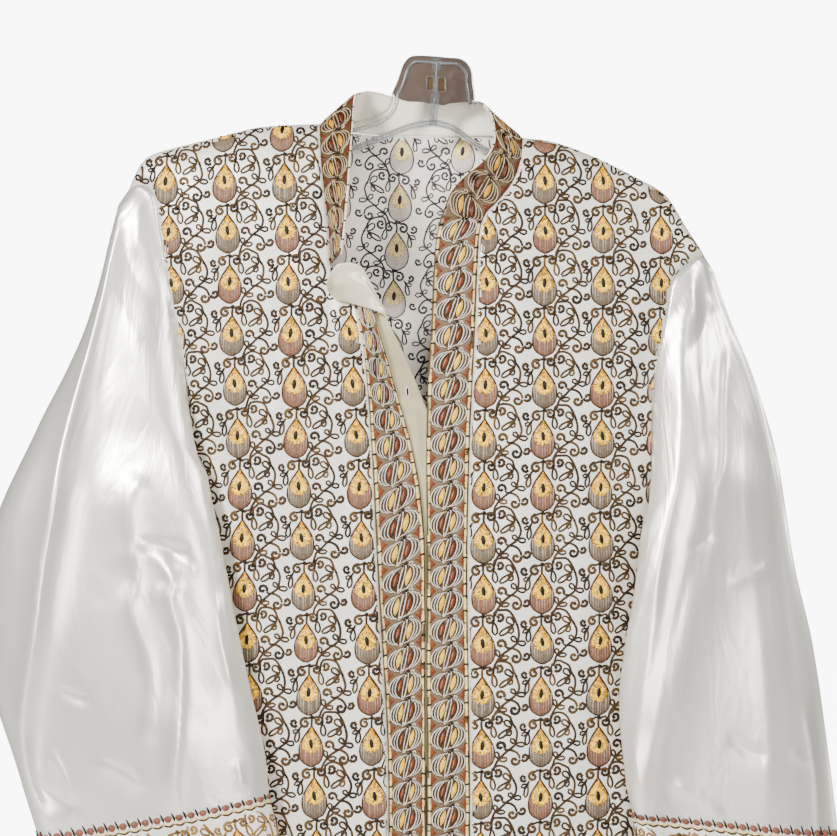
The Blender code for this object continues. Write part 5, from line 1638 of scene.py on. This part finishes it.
# both rims sweep out below the web, inside the collar
leftFoot, rightFoot = [(-40.5, -22.7), (-44, -30), (-52.4, -36), (-66, -41), (-77, -43)], [(36, -26)]
innerLeft, innerRight = [(-36.5, -26), (-41, -35), (-50, -41.5), (-64, -47), (-77, -50)], [(32, -26)]
flatBar(np.vstack([smoothPath(leftFoot, 3)[::-1], rimLine, rightFoot]), hanger["edgeRadius"])
flatBar(np.vstack([smoothPath(innerLeft, 3)[::-1], innerRim, innerRight]), hanger["rimRadius"], y=-0.6)
for opening in openings:
    flatBar(opening, hanger["frameRadius"], y=-0.9, closed=True)
ribLine = smoothPath([(1.8, 16.8), (0.4, 3), (-0.8, -14), (-2.2, -30), (-3.2, -42)], 4)
flatBar(ribLine, hanger["ribRadius"], y=-1.6)
armX = np.linspace(-249, 204.5, 120)
armZ = read(armLine, "x", "z", armX) - hanger["armDrop"]
for gap in (-hanger["armGap"], hanger["armGap"]):
    flatBar(np.column_stack([armX, armZ + gap]), hanger["armRadius"])
armWeb = np.vstack([np.column_stack([armX, armZ + hanger["armWebHalf"]]),
    np.column_stack([armX, armZ - hanger["armWebHalf"]])[::-1]])
# the stem narrows from the top of the plate to the windows and widens below them
stemOutline = [(-3.0, 16.5), (-3.2, 8), (-0.9, 1.5), (-0.9, -14.5), (-4.5, -16.5), (-5.6, -26), (-6.6, -45),
               (0.9, -45),
               (2.8, -26), (3.4, -16.5), (0.9, -14.5), (0.9, 1.5), (4.4, 8), (5.4, 16.5)]
hangerArms = slab("hanger_arm_web", [armWeb], hanger["armWebThick"], clearPolystyrene)
hangerStem = slab("hanger_stem", [stemOutline], hanger["stemHalf"], clearPolystyrene)
hangerBars = newPiece("hanger_bars", stitchingMesh("hanger_bars", bars), clearPolystyrene)
print("hanger made")

# every piece rides on the one body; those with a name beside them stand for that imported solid
for slotName, dressed, added in (("embroidered_satin", ((frontLeft, "front_left"),
        (frontRight, "front_right"), (back, "back")), (leftWork, rightWork, *backParts, innerWorkPiece)),
        ("clear_plastic", ((hangerWeb, "hanger"),), (hangerBars, hangerArms, hangerStem, *paintedShadePanes)),
        ("embroidered_border", ((leftBand, "band_left"), (rightBand, "band_right"),
        (collarPiece, "collar")), (leftBandWork, rightBandWork, collarWork, collarPiping)),
        ("cream_satin", ((liningPiece, "collar_lining"), (flapPiece, "facing_flap"),
        (underlapPiece, "underlap")), (slitWork,)), ("white_satin",
        ((leftSleeve, "sleeve_left"), (rightSleeve, "sleeve_right")), ()),
        ("embroidered_cuff", ((leftCuff, "cuff_left"), (rightCuff, "cuff_right")),
        (leftCuffWork, rightCuffWork))):
    for piece, node in (*dressed, *((piece, None) for piece in added)):
        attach(piece, "root")
        if node:
            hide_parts(node)

# floor in metres; the camera's distance in millimetres, the picture's pixels and their size there
stage = {"left": -5, "right": 5, "front": -4, "behind": 3.3, "z": -1.35, "grey": 0.86, "ambient": 0.16,
         "wallSeen": 9.0}
view = {"distance": 2000, "pixels": 837, "pixelMm": 0.917, "sensor": 36, "aim": (-16, -313.6)}
floorMesh = bpy.data.meshes.new("floor")
floorMesh.from_pydata([(x, y, stage["z"]) for x, y in (
    (stage["left"], stage["front"]), (stage["right"], stage["front"]), (stage["right"], stage["behind"]),
    (stage["left"], stage["behind"]))], [], [(0, 1, 2, 3)])
# painted board, matt
floor = newPiece("floor", floorMesh, newMaterial(
    "pale_matt_floor", {"Roughness": 0.85, "Base Color": (*[stage["grey"]] * 3, 1.0)})[0])

world = bpy.data.worlds.new("pale_room")
bpy.context.scene.world = world
world.use_nodes = True
room = world.node_tree
room.nodes["Background"].inputs["Color"].default_value = (1, 1, 1, 1)
# a white wall behind, brighter than the light that it gives back
seen = addNode(room, "ShaderNodeLightPath")
strength = addNode(room, "ShaderNodeMapRange", {}, {
    "Value": seen.outputs["Is Camera Ray"], "To Min": stage["ambient"], "To Max": stage["wallSeen"]})
room.links.new(strength.outputs["Result"], room.nodes["Background"].inputs["Strength"])

cameraData = bpy.data.cameras.new("camera")
cameraData.sensor_width = view["sensor"]
cameraData.lens = view["sensor"] * view["distance"] / (view["pixels"] * view["pixelMm"])
camera = bpy.data.objects.new("camera", cameraData)
camera.location = (view["aim"][0] * mm, -view["distance"] * mm, view["aim"][1] * mm)
camera.rotation_euler = (pi / 2, 0, 0)
bpy.context.scene.collection.objects.link(camera)
bpy.context.scene.camera = camera

# where each lamp stands in metres, its size and its power
lamps = {
    "key": ((-1.4, -2.1, 0.75), 0.5, 128.0), "fill": ((0.35, -2.6, -0.3), 0.9, 32.0),
    "edge": ((1.7, -1.4, 0.8), 0.45, 32.0), "behind": ((-0.6, 2.6, 0.9), 1.4, 60.0),
}
lampColour = (1.0, 0.985, 0.96)    # daylight with a little warmth
for name, (spot, size, power) in lamps.items():
    lampData = bpy.data.lights.new(name, "AREA")
    lampData.size = size
    lampData.energy = power
    lampData.color = lampColour
    lamp = bpy.data.objects.new(name, lampData)
    lamp.location = spot
    lamp.rotation_euler = (Vector((0, 0, -0.4)) - Vector(spot)).to_track_quat("-Z", "Y").to_euler()
    bpy.context.scene.collection.objects.link(lamp)
